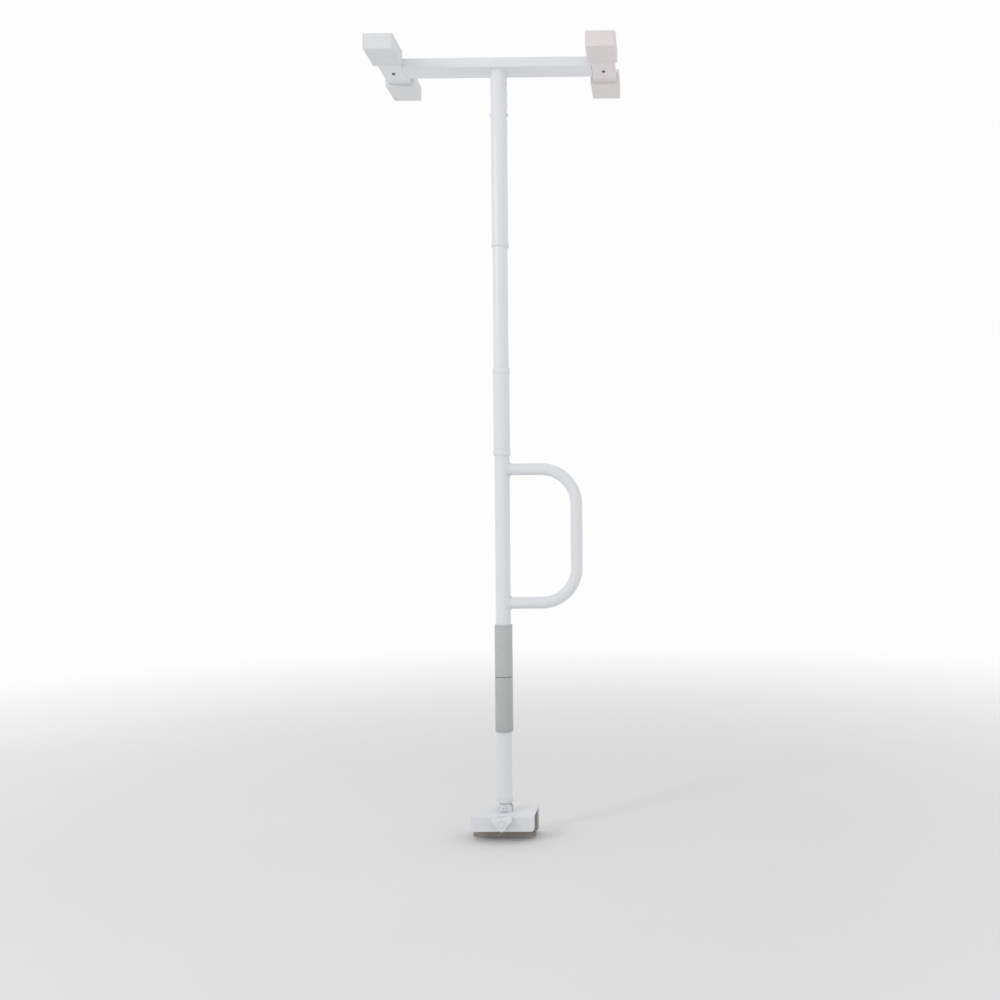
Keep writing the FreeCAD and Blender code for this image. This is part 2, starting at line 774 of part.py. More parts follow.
def make_extension_tube():
    """The tube that the head slides on, with the two holes for the snap buttons near its top."""
    outside = rod("tube_radius", "extension_tube", ("0", "0", EXTENSION_FOOT))
    bore = rod(TUBE_BORE, "extension_tube + 2 * overcut", ("0", "0", f"{EXTENSION_FOOT} - overcut"))
    holes_at = ("-tube_radius - overcut", "0", BUTTON_HEIGHT)
    holes = rod("tube_hole", "2 * (tube_radius + overcut)", holes_at, "X")
    node("extension_tube", cut(outside, bore, holes))
    disc = rod("tube_radius", "cap_top", ("0", "0", EXTENSION_TOP))
    skirt = rod(PLUG_RADIUS, "cap_skirt", ("0", "0", f"{EXTENSION_TOP} - cap_skirt"))
    node("extension_cap", fuse(disc, skirt))


# --- the height catch ---


def make_snap_bend():
    """The U-bend at the foot of the catch spring, which rests in the extension tube."""
    start = ("0", "-spring_width / 2", SPRING_FOOT)
    outside = rod("spring_root + spring_gauge / 2", "spring_width", start, "Y")
    inside_at = ("0", "-spring_width / 2 - overcut", SPRING_FOOT)
    inside = rod("spring_root - spring_gauge / 2", "spring_width + 2 * overcut", inside_at, "Y")
    upper_half = box(
        "4 * spring_root",
        "spring_width + 2 * overcut",
        "2 * spring_root",
        ("-2 * spring_root", "-spring_width / 2 - overcut", f"{SPRING_FOOT} - leg_overlap"),
    )
    node("snap_bend", cut(outside, inside, upper_half))


def spring_lean():
    """The angle in degrees at which each leg leans out to meet its button."""
    seat = val.tube_radius - val.tube_wall - val.button_inset
    offset = seat - val.button_shim - val.spring_gauge / 2 - val.spring_root
    return math.degrees(math.atan2(offset, val.spring_drop))


def make_snap_sides():
    """Each leg of the catch spring with its button, which moves in when it is pressed."""
    for name, side in SIDES.items():
        leg = doc.addObject("Part::Box", "leg")
        bind(leg, Length="spring_gauge", Width="spring_width", Height="spring_length")
        leg.Placement.Rotation = FreeCAD.Rotation(Vector(0, 1, 0), side * spring_lean())
        corner = "spring_root - spring_gauge / 2" if side > 0 else "-spring_root - spring_gauge / 2"
        place(leg, (corner, "-spring_width / 2", SPRING_FOOT))
        node(f"snap_leg_{name}", leg)
        make_snap_button(name, side)


def make_snap_button(name, side):
    """A riveted button: a flange on the leg, a shank and a domed tip."""
    flange_start = BUTTON_SEAT if side > 0 else f"-{BUTTON_SEAT} - button_flange_depth"
    at = (flange_start, "0", BUTTON_HEIGHT)
    flange = rod("button_flange", "button_flange_depth", at, "X")
    length = f"({BUTTON_TIP} - {BUTTON_SEAT})"
    shank_start = BUTTON_SEAT if side > 0 else f"-{BUTTON_TIP}"
    shank = rod("button_radius", length, (shank_start, "0", BUTTON_HEIGHT), "X")
    doc.recompute()
    tip = side * max(side * vertex.X for vertex in shank.Shape.Vertexes)
    dome = rounded(shank, val.button_radius / 2, lambda e: abs(e.CenterOfMass.x - tip) < 0.01)
    node(f"snap_button_{name}", fuse(flange, dome))


# --- the head ---


def make_stem():
    """The sleeve under the crossbar, with its two rows of catch holes, end ring and weld."""
    outside = rod(SLEEVE_RADIUS, "stem_length", ("0", "0", STEM_BOTTOM))
    bore = rod(SLEEVE_BORE, "stem_length + 2 * overcut", ("0", "0", f"{STEM_BOTTOM} - overcut"))
    holes = []
    for step in range(-HOLES_EACH_WAY, HOLES_EACH_WAY + 1):
        at = (f"-{SLEEVE_RADIUS} - overcut", "0", f"{BUTTON_HEIGHT} + {step} * hole_pitch")
        holes.append(rod("sleeve_hole", f"2 * {SLEEVE_RADIUS} + 2 * overcut", at, "X"))
    node("stem_sleeve", cut(outside, bore, *holes))
    ring("stem_ring", RING_RADIUS, RING_BORE, STEM_BOTTOM, "stem_ring")
    bead_start = ("0", "0", f"{BAR_BOTTOM} - stem_weld_height")
    weld_foot = f"{SLEEVE_RADIUS} + stem_weld_leg"
    bead = cone(f"{SLEEVE_RADIUS} + weld_edge", weld_foot, "stem_weld_height", bead_start)
    bead_foot = ("0", "0", f"{BAR_BOTTOM} - stem_weld_height - overcut")
    bead_bore = rod(RING_BORE, "stem_weld_height + 2 * overcut", bead_foot)
    node("stem_weld", cut(bead, bead_bore))


def rectangular_tube(length, width, at, axis):
    """A rectangular steel tube with rounded edges, open at both ends along X or Y."""
    height = "bar_height"
    outside = box(length, width, height, at)
    outside = rounded(outside, val.bar_corner, runs_along(axis))
    x, y, z = at
    if axis.x:
        inner_sizes = (f"{length} + 2 * overcut", f"{width} - 2 * bar_wall")
        corner = (f"{x} - overcut", f"{y} + bar_wall")
    else:
        inner_sizes = (f"{length} - 2 * bar_wall", f"{width} + 2 * overcut")
        corner = (f"{x} + bar_wall", f"{y} - overcut")
    inside = box(*inner_sizes, f"{height} - 2 * bar_wall", (*corner, f"{z} + bar_wall"))
    return cut(outside, inside)


def make_crossbar():
    """The bar across the head and the tongue at each end of it."""
    at = (f"-{BAR_FACE}", "-bar_width / 2", BAR_BOTTOM)
    crossbar = rectangular_tube(f"2 * {BAR_FACE}", "bar_width", at, Vector(1, 0, 0))
    node("crossbar", crossbar)
    for name, side in SIDES.items():
        start = f"{BAR_FACE} - tongue_inside" if side > 0 else f"-{BAR_FACE} - {TONGUE_REACH}"
        tongue = box(
            f"tongue_inside + {TONGUE_REACH}",
            "tongue_width",
            "tongue_thickness",
            (start, "-tongue_width / 2", BAR_FLOOR),
        )
        hole = rod(
            "end_bolt + seated_gap",
            "tongue_thickness + 2 * overcut",
            (f"{side} * pad_spread / 2", "0", f"{BAR_FLOOR} - overcut"),
        )
        node(f"tongue_{name}", cut(tongue, hole))


def make_end_bars():
    """The two bars along Y that carry the rubber boots, slotted for the tongues."""
    for name, side in SIDES.items():
        start = f"{side} * pad_spread / 2 - bar_width / 2"
        at = (start, "-end_bar_length / 2", BAR_BOTTOM)
        bar = rectangular_tube("bar_width", "end_bar_length", at, Vector(0, 1, 0))
        slot = box(
            "bar_wall + 2 * overcut",
            "tongue_width + 2 * moving_gap",
            "tongue_thickness + moving_gap",
            (
                f"{side} * ({BAR_FACE} + bar_wall / 2) - bar_wall / 2 - overcut",
                "-tongue_width / 2 - moving_gap",
                BAR_FLOOR,
            ),
        )
        hole_at = (f"{side} * pad_spread / 2", "0", f"{BAR_BOTTOM} - overcut")
        hole = rod("end_bolt + seated_gap", "bar_wall + 2 * overcut", hole_at)
        node(f"end_bar_{name}", cut(bar, slot, hole))


def make_end_bolts():
    """The bolt under each end bar that holds it to its tongue."""
    bolts = []
    for side in SIDES.values():
        x = f"{side} * pad_spread / 2"
        head_at = (x, "0", f"{BAR_BOTTOM} - end_bolt_head_depth")
        head = rod("end_bolt_head", "end_bolt_head_depth", head_at)
        length = "end_bolt_head_depth + bar_wall + tongue_thickness + 3"
        shank = rod("end_bolt", length, head_at)
        bolts.append(fuse(head, shank))
    node("end_bolts", fuse(*bolts))


def make_boots():
    """The four rubber boots over the ends of the end bars, whose tops press on the ceiling."""
    for end, way in ENDS.items():
        for name, side in SIDES.items():
            near = f"-{BOOT_OUTER}" if way < 0 else BOOT_INNER
            shell = box(
                "bar_width + 2 * boot_wall",
                "boot_length",
                "bar_height + 2 * boot_wall",
                (f"{side} * pad_spread / 2 - bar_width / 2 - boot_wall", near, f"{BAR_BOTTOM} - boot_wall"),
            )
            shell = rounded(shell, val.boot_edge, runs_along(Vector(0, 1, 0)))
            socket_near = f"-end_bar_length / 2 - seated_gap" if way < 0 else f"{BOOT_INNER} - overcut"
            socket = box(
                "bar_width + 2 * seated_gap",
                "boot_length - boot_wall + seated_gap + overcut",
                "bar_height + 2 * seated_gap",
                (
                    f"{side} * pad_spread / 2 - bar_width / 2 - seated_gap",
                    socket_near,
                    f"{BAR_BOTTOM} - seated_gap",
                ),
            )
            node(f"boot_{end}_{name}", cut(shell, socket))


# --- the whole object ---


def build():
    """Build every sub-part in the document."""
    make_sheet()
    make_saddle()
    make_liners()
    make_clamp_nut()
    make_pressure_plate()
    make_clamp_pad()
    make_screw_cup()
    make_clamp_screw()
    make_screw_clip()
    make_hand_knob()
    make_knob_cap()
    make_pivot_ears()
    make_pivot_bolt()
    make_swivel_eye()
    make_lower_half()
    make_grip("lower_grip", f"({LOWER_TOP} - lower_grip)", "lower_grip")
    make_grip("upper_grip", HANDLE_FOOT, "upper_grip")
    make_handle_tube()
    ring("guide_bush", PLUG_RADIUS, f"{GUIDE_RADIUS} + running_gap", HANDLE_FOOT, "bush_length")
    make_jack_nut()
    make_d_handle()
    make_handle_welds()
    make_coupler()
    make_extension_tube()
    make_snap_bend()
    make_snap_sides()
    make_stem()
    make_crossbar()
    make_end_bars()
    make_end_bolts()
    make_boots()
    doc.recompute()


def check():
    """Stop with a message if any object failed or any sub-part has no valid shape."""
    for thing in doc.Objects:
        if "Invalid" in thing.State or "Error" in thing.State:
            raise RuntimeError(f"{thing.Label} failed: {thing.State}")
    for thing in nodes:
        shape = thing.Shape
        if shape.isNull() or not shape.isValid() or not shape.Solids:
            raise RuntimeError(f"{thing.Label} has no valid solid")


def write():
    """Write each sub-part's shape to a STEP file of its own name."""
    os.makedirs("parts", exist_ok=True)
    for thing in nodes:
        thing.Shape.exportStep(f"parts/{thing.Label}.step")
        box_ = thing.Shape.BoundBox
        print(f"{thing.Label}: {len(thing.Shape.Solids)} solid(s), {thing.Shape.Volume:.0f} mm3, {box_}")


build()
check()
write()
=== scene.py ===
"""The looks of a tension grab pole that stands on a bathtub rim and presses against the ceiling.

+Z is up, +X is towards the D-shaped handle and -Y is towards the outside of the tub.
Shapes are worked out in millimetres as whole arrays and put into meshes in metres.
"""

import json
import logging
import math
from dataclasses import dataclass
from enum import Enum

import bpy
import numpy as np
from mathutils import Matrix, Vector


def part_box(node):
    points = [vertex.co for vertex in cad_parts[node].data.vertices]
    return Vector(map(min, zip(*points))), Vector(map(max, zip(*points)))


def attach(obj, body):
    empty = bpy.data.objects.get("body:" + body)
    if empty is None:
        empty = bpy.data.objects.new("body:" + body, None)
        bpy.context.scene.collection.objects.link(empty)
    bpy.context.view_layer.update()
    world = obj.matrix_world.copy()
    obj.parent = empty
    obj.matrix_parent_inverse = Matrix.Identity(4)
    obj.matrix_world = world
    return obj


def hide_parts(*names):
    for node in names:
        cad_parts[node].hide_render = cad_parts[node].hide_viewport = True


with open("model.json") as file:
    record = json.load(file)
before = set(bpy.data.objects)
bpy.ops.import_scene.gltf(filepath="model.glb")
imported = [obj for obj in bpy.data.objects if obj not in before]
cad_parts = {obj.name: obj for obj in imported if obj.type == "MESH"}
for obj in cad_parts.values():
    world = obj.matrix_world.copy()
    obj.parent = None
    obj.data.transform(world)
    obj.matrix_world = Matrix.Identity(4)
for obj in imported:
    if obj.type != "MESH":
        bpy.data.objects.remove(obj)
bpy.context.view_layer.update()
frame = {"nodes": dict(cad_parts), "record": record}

MM = 0.001
WELD = 1.3e-4
ROUND = 192
FULL_TURN = 2 * math.pi
ORIGIN = (0.0, 0.0, 0.0)

log = logging.getLogger("grab_pole")


# --- surfaces ---


class Axis(Enum):
    """The frame's axis that a turned or lofted shape runs along."""

    X = "x"
    Y = "y"
    Z = "z"

    def place(self, points: np.ndarray) -> np.ndarray:
        """Turns a shape worked out along Z so that it runs along this axis.

        Args:
            points: points whose last number is the distance along the shape.

        Returns:
            The same points in the frame's own order.
        """
        across, up, along = points[..., 0], points[..., 1], points[..., 2]
        if self is Axis.X:
            return np.stack([along, across, up], -1)
        if self is Axis.Y:
            return np.stack([across, along, up], -1)
        return points


@dataclass
class Skin:
    """A closed surface: points in millimetres, and its four-sided and three-sided faces."""

    points: np.ndarray
    quads: np.ndarray
    triangles: np.ndarray

    @staticmethod
    def sewn(points: np.ndarray, faces: np.ndarray) -> "Skin":
        """Merges points that meet, drops faces that shrink to a line and turns the rest outwards.

        Args:
            points: the points, one a row.
            faces: four point numbers a row.

        Returns:
            The skin. Its volume, a third of each face's centre times its normal summed, is positive.
        """
        keys = np.round(points / WELD).astype(np.int64)
        _, first, index = np.unique(keys, axis=0, return_index=True, return_inverse=True)
        faces = index.reshape(-1)[faces]
        points = points[first]
        same = faces == np.roll(faces, -1, axis=1)
        folded = (faces[:, 0] == faces[:, 2]) | (faces[:, 1] == faces[:, 3])
        quads = faces[(same.sum(1) == 0) & ~folded]
        thin = (same.sum(1) == 1) & ~folded
        triangles = faces[thin][~same[thin]].reshape(-1, 3)
        halves = np.concatenate([quads[:, [0, 1, 2]], quads[:, [0, 2, 3]], triangles])
        a, b, c = points[halves[:, 0]], points[halves[:, 1]], points[halves[:, 2]]
        if np.einsum("ij,ij->", a, np.cross(b, c)) < 0:
            quads, triangles = quads[:, ::-1], triangles[:, ::-1]
        return Skin(points, quads, triangles)


def around(segments: int) -> np.ndarray:
    """Equal steps of angle round a full turn."""
    return np.arange(segments) * FULL_TURN / segments


def quarter(count: int) -> np.ndarray:
    """Angles from nought to a right angle, both included."""
    return np.linspace(0, math.pi / 2, count)


def net(rows: int, columns: int, wrap_rows: bool, wrap_columns: bool) -> np.ndarray:
    """The faces of a grid of points.

    Args:
        rows: how many rows of points there are.
        columns: how many points there are in a row.
        wrap_rows: whether the last row joins the first.
        wrap_columns: whether the last column joins the first.

    Returns:
        Four point numbers for each face.
    """
    i, j = np.meshgrid(
        np.arange(rows if wrap_rows else rows - 1),
        np.arange(columns if wrap_columns else columns - 1),
        indexing="ij",
    )
    down, right = (i + 1) % rows, (j + 1) % columns
    corners = [i * columns + j, i * columns + right, down * columns + right, down * columns + j]
    return np.stack(corners, -1).reshape(-1, 4)


def rounded(corners: list[tuple[float, float]], radii: float | list[float], steps: int = 6) -> np.ndarray:
    """A closed outline with each corner rounded by an arc.

    The arc's centre lies on the corner's bisector, radius / sin(half the angle) from it, and the
    arc turns from one tangent point to the other by equal steps.

    Args:
        corners: the outline's corners in order.
        radii: one radius for all the corners, or one for each.
        steps: how many pieces each arc has.

    Returns:
        The outline's points, steps + 1 for each corner.
    """
    corner = np.array(corners, float)
    radius = np.broadcast_to(np.array(radii, float), len(corner))[:, None]
    back, ahead = np.roll(corner, 1, 0) - corner, np.roll(corner, -1, 0) - corner
    back /= np.linalg.norm(back, axis=1, keepdims=True)
    ahead /= np.linalg.norm(ahead, axis=1, keepdims=True)
    half = np.arccos(np.clip((back * ahead).sum(1, keepdims=True), -1, 1)) / 2
    bisector = back + ahead
    bisector /= np.linalg.norm(bisector, axis=1, keepdims=True)
    centre = corner + bisector * radius / np.sin(half)
    tangent = radius / np.tan(half)
    start, end = corner + back * tangent - centre, corner + ahead * tangent - centre
    sweep = math.pi - 2 * half
    t = np.linspace(0, 1, steps + 1)[None, :, None]
    sweep3 = sweep[:, :, None]
    arc = (np.sin((1 - t) * sweep3) * start[:, None] + np.sin(t * sweep3) * end[:, None]) / np.sin(sweep3)
    return (centre[:, None] + arc).reshape(-1, 2)


def rectangle(width: float, height: float, radius: float, steps: int = 6) -> np.ndarray:
    """A rounded rectangle about the origin, starting at its lower left corner."""
    x, y = width / 2, height / 2
    return rounded([(-x, -y), (x, -y), (x, y), (-x, y)], radius, steps)


def outline_normals(outline: np.ndarray) -> np.ndarray:
    """The outward unit normal at each point of a counter-clockwise outline.

    Args:
        outline: the outline's points.

    Returns:
        The mean of the two sides' normals at each point, made one long.
    """
    side = np.roll(outline, -1, 0) - outline
    side /= np.maximum(np.linalg.norm(side, axis=1, keepdims=True), 1e-9)
    mean = side + np.roll(side, 1, 0)
    mean /= np.maximum(np.linalg.norm(mean, axis=1, keepdims=True), 1e-9)
    return np.stack([mean[:, 1], -mean[:, 0]], -1)


def stacked(
    rings: list[tuple] | np.ndarray,
    axis: Axis = Axis.Z,
    centre: tuple = ORIGIN,
    segments: int = 96,
    ring: bool = False,
) -> Skin:
    """Rings whose radius is a number or changes with the angle, joined one to the next.

    A point is (radius cos angle, radius sin angle, distance).

    Args:
        rings: for each ring its radius, a number or one for each angle, and its distance.
        axis: the axis that the rings lie across.
        centre: a point that the axis passes through, in millimetres.
        segments: how many points a ring has.
        ring: whether the last ring joins the first, as in a tube's wall. If not, both ends lie on the axis.

    Returns:
        The closed skin.
    """
    angle = around(segments)
    radius = np.stack([np.broadcast_to(r, segments) for r, _ in rings])
    along = np.stack([np.broadcast_to(d, segments) for _, d in rings])
    points = np.stack([radius * np.cos(angle), radius * np.sin(angle), along], -1)
    faces = net(len(rings), segments, ring, True)
    return Skin.sewn(axis.place(points.reshape(-1, 3)) + np.array(centre), faces)


def turned(
    profile: list[tuple] | np.ndarray, axis: Axis = Axis.Z, segments: int = ROUND, centre: tuple = ORIGIN
) -> Skin:
    """A closed profile of (radius, distance along the axis) carried round the axis."""
    return stacked(profile, axis, centre, segments, ring=True)


def ring_section(
    inner: float, outer: float, bottom: float, top: float, radii: float | list[float], steps: int
) -> np.ndarray:
    """The section of a ring's wall, its corners rounded in order from the inner lower one."""
    return rounded([(inner, bottom), (outer, bottom), (outer, top), (inner, top)], radii, steps)


def lofted(outlines: np.ndarray, along: np.ndarray, axis: Axis, centre: tuple, ring: bool = False) -> Skin:
    """Outlines laid across an axis and joined, each end closed by a ladder of faces.

    Args:
        outlines: (levels, points, 2), all with the same even number of points.
        along: the distance of each outline along the axis.
        axis: the axis that the outlines lie across.
        centre: what is added to every point, in millimetres.
        ring: whether the last outline joins the first, as in a hollow bar.

    Returns:
        The closed skin.
    """
    levels, count, _ = outlines.shape
    depth = np.broadcast_to(along[:, None, None], (levels, count, 1))
    points = np.concatenate([outlines, depth], -1).reshape(-1, 3)
    faces = net(levels, count, ring, True)
    if not ring:
        rung = np.arange(count // 2 - 1)
        cap = np.stack([rung, rung + 1, count - 2 - rung, count - 1 - rung], -1)
        faces = np.concatenate([faces, cap[:, ::-1], cap + (levels - 1) * count])
    return Skin.sewn(axis.place(points) + np.array(centre), faces)


def block(outline: np.ndarray, start: float, end: float, edge: float, axis: Axis, centre: tuple) -> Skin:
    """A solid with one outline all along and its two end edges rounded.

    At an angle q into a rounded edge the outline is drawn in by edge (1 - sin q) and lies
    edge (1 - cos q) from the end.

    Args:
        outline: the section's points, counter-clockwise.
        start: the distance of the first end along the axis.
        end: the distance of the second end.
        edge: the radius of the rounded edges.
        axis: the axis that the section lies across.
        centre: what is added to every point, in millimetres.

    Returns:
        The closed skin.
    """
    q = quarter(5)
    inset, depth = edge * (1 - np.sin(q)), edge * (1 - np.cos(q))
    insets = np.concatenate([inset, inset[::-1]])
    along = np.concatenate([start + depth, end - depth[::-1]])
    outlines = outline - outline_normals(outline) * insets[:, None, None]
    return lofted(outlines, along, axis, centre)


def hexagon(apothem: float, segments: int = 96) -> np.ndarray:
    """A hexagon's radius at each angle: the apothem over the cosine of the angle from the flat's middle."""
    return apothem / np.cos((around(segments) + math.pi / 6) % (math.pi / 3) - math.pi / 6)


def box_of(node: str) -> tuple[np.ndarray, np.ndarray]:
    """The lowest and highest corner of a CAD node at rest, in millimetres."""
    low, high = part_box(node)
    return np.round(np.array(low) / MM, 3), np.round(np.array(high) / MM, 3)


def centre_of(node: str) -> np.ndarray:
    """The middle of a CAD node's box at rest, in millimetres."""
    return sum(box_of(node)) / 2


def radius_of(node: str) -> float:
    """The radius of a round CAD node that stands on the pole's axis, in millimetres."""
    return box_of(node)[1][0]


def slot_of(node: str) -> str:
    """The record's material slot of a CAD node."""
    return next(s["material_slot"] for s in frame["record"]["subparts"] if s["node"] == node)


# --- finishes ---


class Bench:
    """Adds and wires the nodes of one material."""

    def __init__(self, name: str) -> None:
        """Starts a material with its shader and a point in the piece's own coordinates."""
        self.material = bpy.data.materials.new(name)
        self.material.use_nodes = True
        self.tree = self.material.node_tree
        self.shader = self.tree.nodes["Principled BSDF"]
        self.point = self.add("ShaderNodeTexCoord").outputs["Object"]

    def add(self, kind: str, **settings: object) -> bpy.types.Node:
        """A new node.

        Args:
            kind: the node's type.
            settings: values by property or by socket name, with spaces as underscores.

        Returns:
            The node.
        """
        node = self.tree.nodes.new(kind)
        for key, value in settings.items():
            if hasattr(node, key):
                setattr(node, key, value)
            else:
                self.feed(node.inputs[key.replace("_", " ")], value)
        return node

    def feed(self, socket: bpy.types.NodeSocket, value: object) -> None:
        """Links a socket to an output, or sets its value."""
        if isinstance(value, bpy.types.NodeSocket):
            self.tree.links.new(value, socket)
        else:
            socket.default_value = value

    def shine(self, **values: object) -> None:
        """Sets or links the shader's own sockets, named with underscores for spaces."""
        for key, value in values.items():
            self.feed(self.shader.inputs[key.replace("_", " ")], value)

    def noise(self, scale: float, detail: float = 2.0, stretch: tuple = (1, 1, 1)) -> bpy.types.NodeSocket:
        """Noise of a scale per metre.

        Args:
            scale: how many cells there are in a metre.
            detail: how many finer layers it has.
            stretch: what each coordinate is multiplied by first.

        Returns:
            The noise's value, about 0.5 in the middle.
        """
        mapped = self.add("ShaderNodeMapping", Vector=self.point, Scale=stretch)
        node = self.add("ShaderNodeTexNoise", Vector=mapped.outputs[0], Scale=scale, Detail=detail)
        return node.outputs[0]

    def cells(self, scale: float) -> bpy.types.NodeSocket:
        """The distance to the nearest of a scatter of points, so many in a metre."""
        node = self.add("ShaderNodeTexVoronoi", Vector=self.point, Scale=scale)
        return node.outputs["Distance"]

    def spread(
        self, value: bpy.types.NodeSocket, low: float, high: float, to_low: float = 0.0, to_high: float = 1.0
    ) -> bpy.types.NodeSocket:
        """Carries a value from one range to another.

        Args:
            value: the value that is carried.
            low: the start of its range.
            high: the end of its range.
            to_low: what the start becomes.
            to_high: what the end becomes.

        Returns:
            The carried value, held between the two ends.
        """
        node = self.add("ShaderNodeMapRange", Value=value, From_Min=low, From_Max=high, To_Min=to_low, To_Max=to_high)
        return node.outputs[0]

    def tint(self, value: object, first: tuple, second: tuple) -> bpy.types.NodeSocket:
        """A colour between two, by a value from 0 to 1."""
        node = self.add("ShaderNodeMix", data_type="RGBA", blend_type="MIX")
        for socket, given in ((node.inputs[0], value), (node.inputs[6], first), (node.inputs[7], second)):
            self.feed(socket, given)
        return node.outputs[2]

    def rough(self, *layers: tuple[bpy.types.NodeSocket, float]) -> None:
        """Lays reliefs on each other, each given as its height and its depth in millimetres."""
        normal = None
        for height, depth in layers:
            node = self.add("ShaderNodeBump", Height=height, Distance=depth * MM, Strength=1.0)
            if normal is not None:
                self.feed(node.inputs["Normal"], normal)
            normal = node.outputs[0]
        self.shine(Normal=normal)


def shade(colour: tuple[float, float, float], factor: float = 1.0) -> tuple[float, float, float, float]:
    """A colour made lighter or darker, with its alpha of 1."""
    return tuple(min(1.0, c * factor) for c in colour) + (1.0,)


@dataclass(frozen=True)
class Finish:
    """A finish of one of the record's material slots."""

    name: str
    slot: str
    colour: tuple[float, float, float]

    def dress(self, bench: Bench) -> None:
        """Builds the finish's nodes."""
        raise NotImplementedError

    def toned(self, bench: Bench, value: object, *ends: object) -> bpy.types.NodeSocket:
        """A mix by a value, each end either a factor of the finish's colour or another mix."""
        first, second = (shade(self.colour, end) if isinstance(end, float) else end for end in ends)
        return bench.tint(value, first, second)

    def material(self) -> bpy.types.Material:
        """The finish's material, made the first time that it is asked for."""
        found = bpy.data.materials.get(self.name)
        if found is None:
            bench = Bench(self.name)
            self.dress(bench)
            found = bench.material
        return found


@dataclass(frozen=True)
class PowderCoat(Finish):
    """Powder coat: a faint orange peel under a thin gloss, with soft clouding and hairline scuffs."""

    roughness: float = 0.36

    def dress(self, bench: Bench) -> None:
        """Builds the finish's nodes."""
        cloud = bench.spread(bench.noise(7, 3), 0.3, 0.7)
        scuff = bench.spread(bench.noise(160, 4, (1, 1, 0.12)), 0.66, 0.72, 0, 0.5)
        coat = self.toned(bench, cloud, 0.975, 1.012)
        bench.shine(
            Base_Color=self.toned(bench, scuff, coat, 0.93),
            Roughness=bench.spread(bench.noise(45, 3), 0.3, 0.7, self.roughness - 0.05, self.roughness + 0.07),
            Coat_Weight=0.12,
            Coat_Roughness=0.2,
            Specular_IOR_Level=0.4,
        )
        bench.rough((bench.noise(420, 1.5), 0.03), (bench.noise(1500, 2), 0.008))


@dataclass(frozen=True)
class MouldedPlastic(Finish):
    """Moulded plastic: a fine spark-eroded grain over a slow change of shade."""

    roughness: float = 0.42
    glow: float = 0.06

    def dress(self, bench: Bench) -> None:
        """Builds the finish's nodes."""
        cloud = bench.spread(bench.noise(22, 2), 0.3, 0.7)
        bench.shine(
            Base_Color=self.toned(bench, cloud, 0.965, 1.01),
            Roughness=bench.spread(bench.noise(90, 3), 0.3, 0.7, self.roughness - 0.06, self.roughness + 0.08),
            Subsurface_Weight=self.glow,
            Subsurface_Scale=0.002,
            Specular_IOR_Level=0.5,
        )
        bench.rough((bench.cells(1900), 0.012), (bench.noise(3600, 2), 0.006))


@dataclass(frozen=True)
class ClosedCellFoam(Finish):
    """Foam grip: a matt skin with fine open pores, mottled, with painted shade in the pores and painted shade that
    darkens it a little towards the foot.
    """

    foot: float = 0.212
    head: float = 0.486

    def dress(self, bench: Bench) -> None:
        """Builds the finish's nodes."""
        # Painted shade: the colour is darkened from the head down to the foot by height.
        height = bench.add("ShaderNodeSeparateXYZ", Vector=bench.point).outputs["Z"]
        lift = bench.spread(height, self.foot, self.head)
        height_shade = self.toned(bench, lift, 0.78, 1.1)
        mottle = bench.spread(bench.noise(240, 4), 0.35, 0.65)
        # Painted shade in the pores: the colour darkens near each pore's centre, where the bump sinks.
        pore_shade = bench.spread(bench.cells(700), 0.0, 0.22, 0.55, 0)
        body = self.toned(bench, mottle, 0.93, 1.06)
        bench.shine(
            Base_Color=self.toned(bench, pore_shade, bench.tint(0.5, height_shade, body), 0.62),
            Roughness=bench.spread(bench.noise(300, 3), 0.3, 0.7, 0.78, 0.95),
            Sheen_Weight=0.25,
            Sheen_Roughness=0.6,
            Specular_IOR_Level=0.25,
        )
        bench.rough((bench.cells(700), 0.18), (bench.noise(1600, 3), 0.07), (bench.noise(60, 2), 0.25))


@dataclass(frozen=True)
class Rubber(Finish):
    """Rubber: a matt face with fine grain, a dusty bloom and darker rubbed spots."""

    bloom: float = 0.06
    roughness: float = 0.62

    def dress(self, bench: Bench) -> None:
        """Builds the finish's nodes."""
        cloud = bench.spread(bench.noise(28, 4), 0.35, 0.65)
        dust = bench.spread(bench.noise(210, 5), 0.55, 0.8)
        body = self.toned(bench, cloud, 1 - self.bloom, 1 + self.bloom / 2)
        bench.shine(
            Base_Color=self.toned(bench, dust, body, 1 - 1.6 * self.bloom),
            Roughness=bench.spread(bench.noise(120, 3), 0.3, 0.7, self.roughness - 0.08, self.roughness + 0.12),
            Sheen_Weight=0.08,
            Specular_IOR_Level=0.35,
        )
        bench.rough((bench.noise(1300, 3), 0.03), (bench.noise(180, 2), 0.05))


@dataclass(frozen=True)
class Metal(Finish):
    """Bare or plated metal: drawn lines along the part, a slow tarnish and small spangles."""

    roughness: float = 0.3
    grain: tuple[float, float, float] = (1.0, 1.0, 0.06)

    def dress(self, bench: Bench) -> None:
        """Builds the finish's nodes."""
        drawn = bench.noise(1100, 3, self.grain)
        tarnish = bench.spread(bench.noise(60, 4), 0.35, 0.7)
        bench.shine(
            Base_Color=self.toned(bench, tarnish, 1.04, 0.84),
            Metallic=1.0,
            Roughness=bench.spread(drawn, 0.3, 0.7, self.roughness - 0.08, self.roughness + 0.14),
        )
        bench.rough((drawn, 0.006), (bench.cells(420), 0.01))


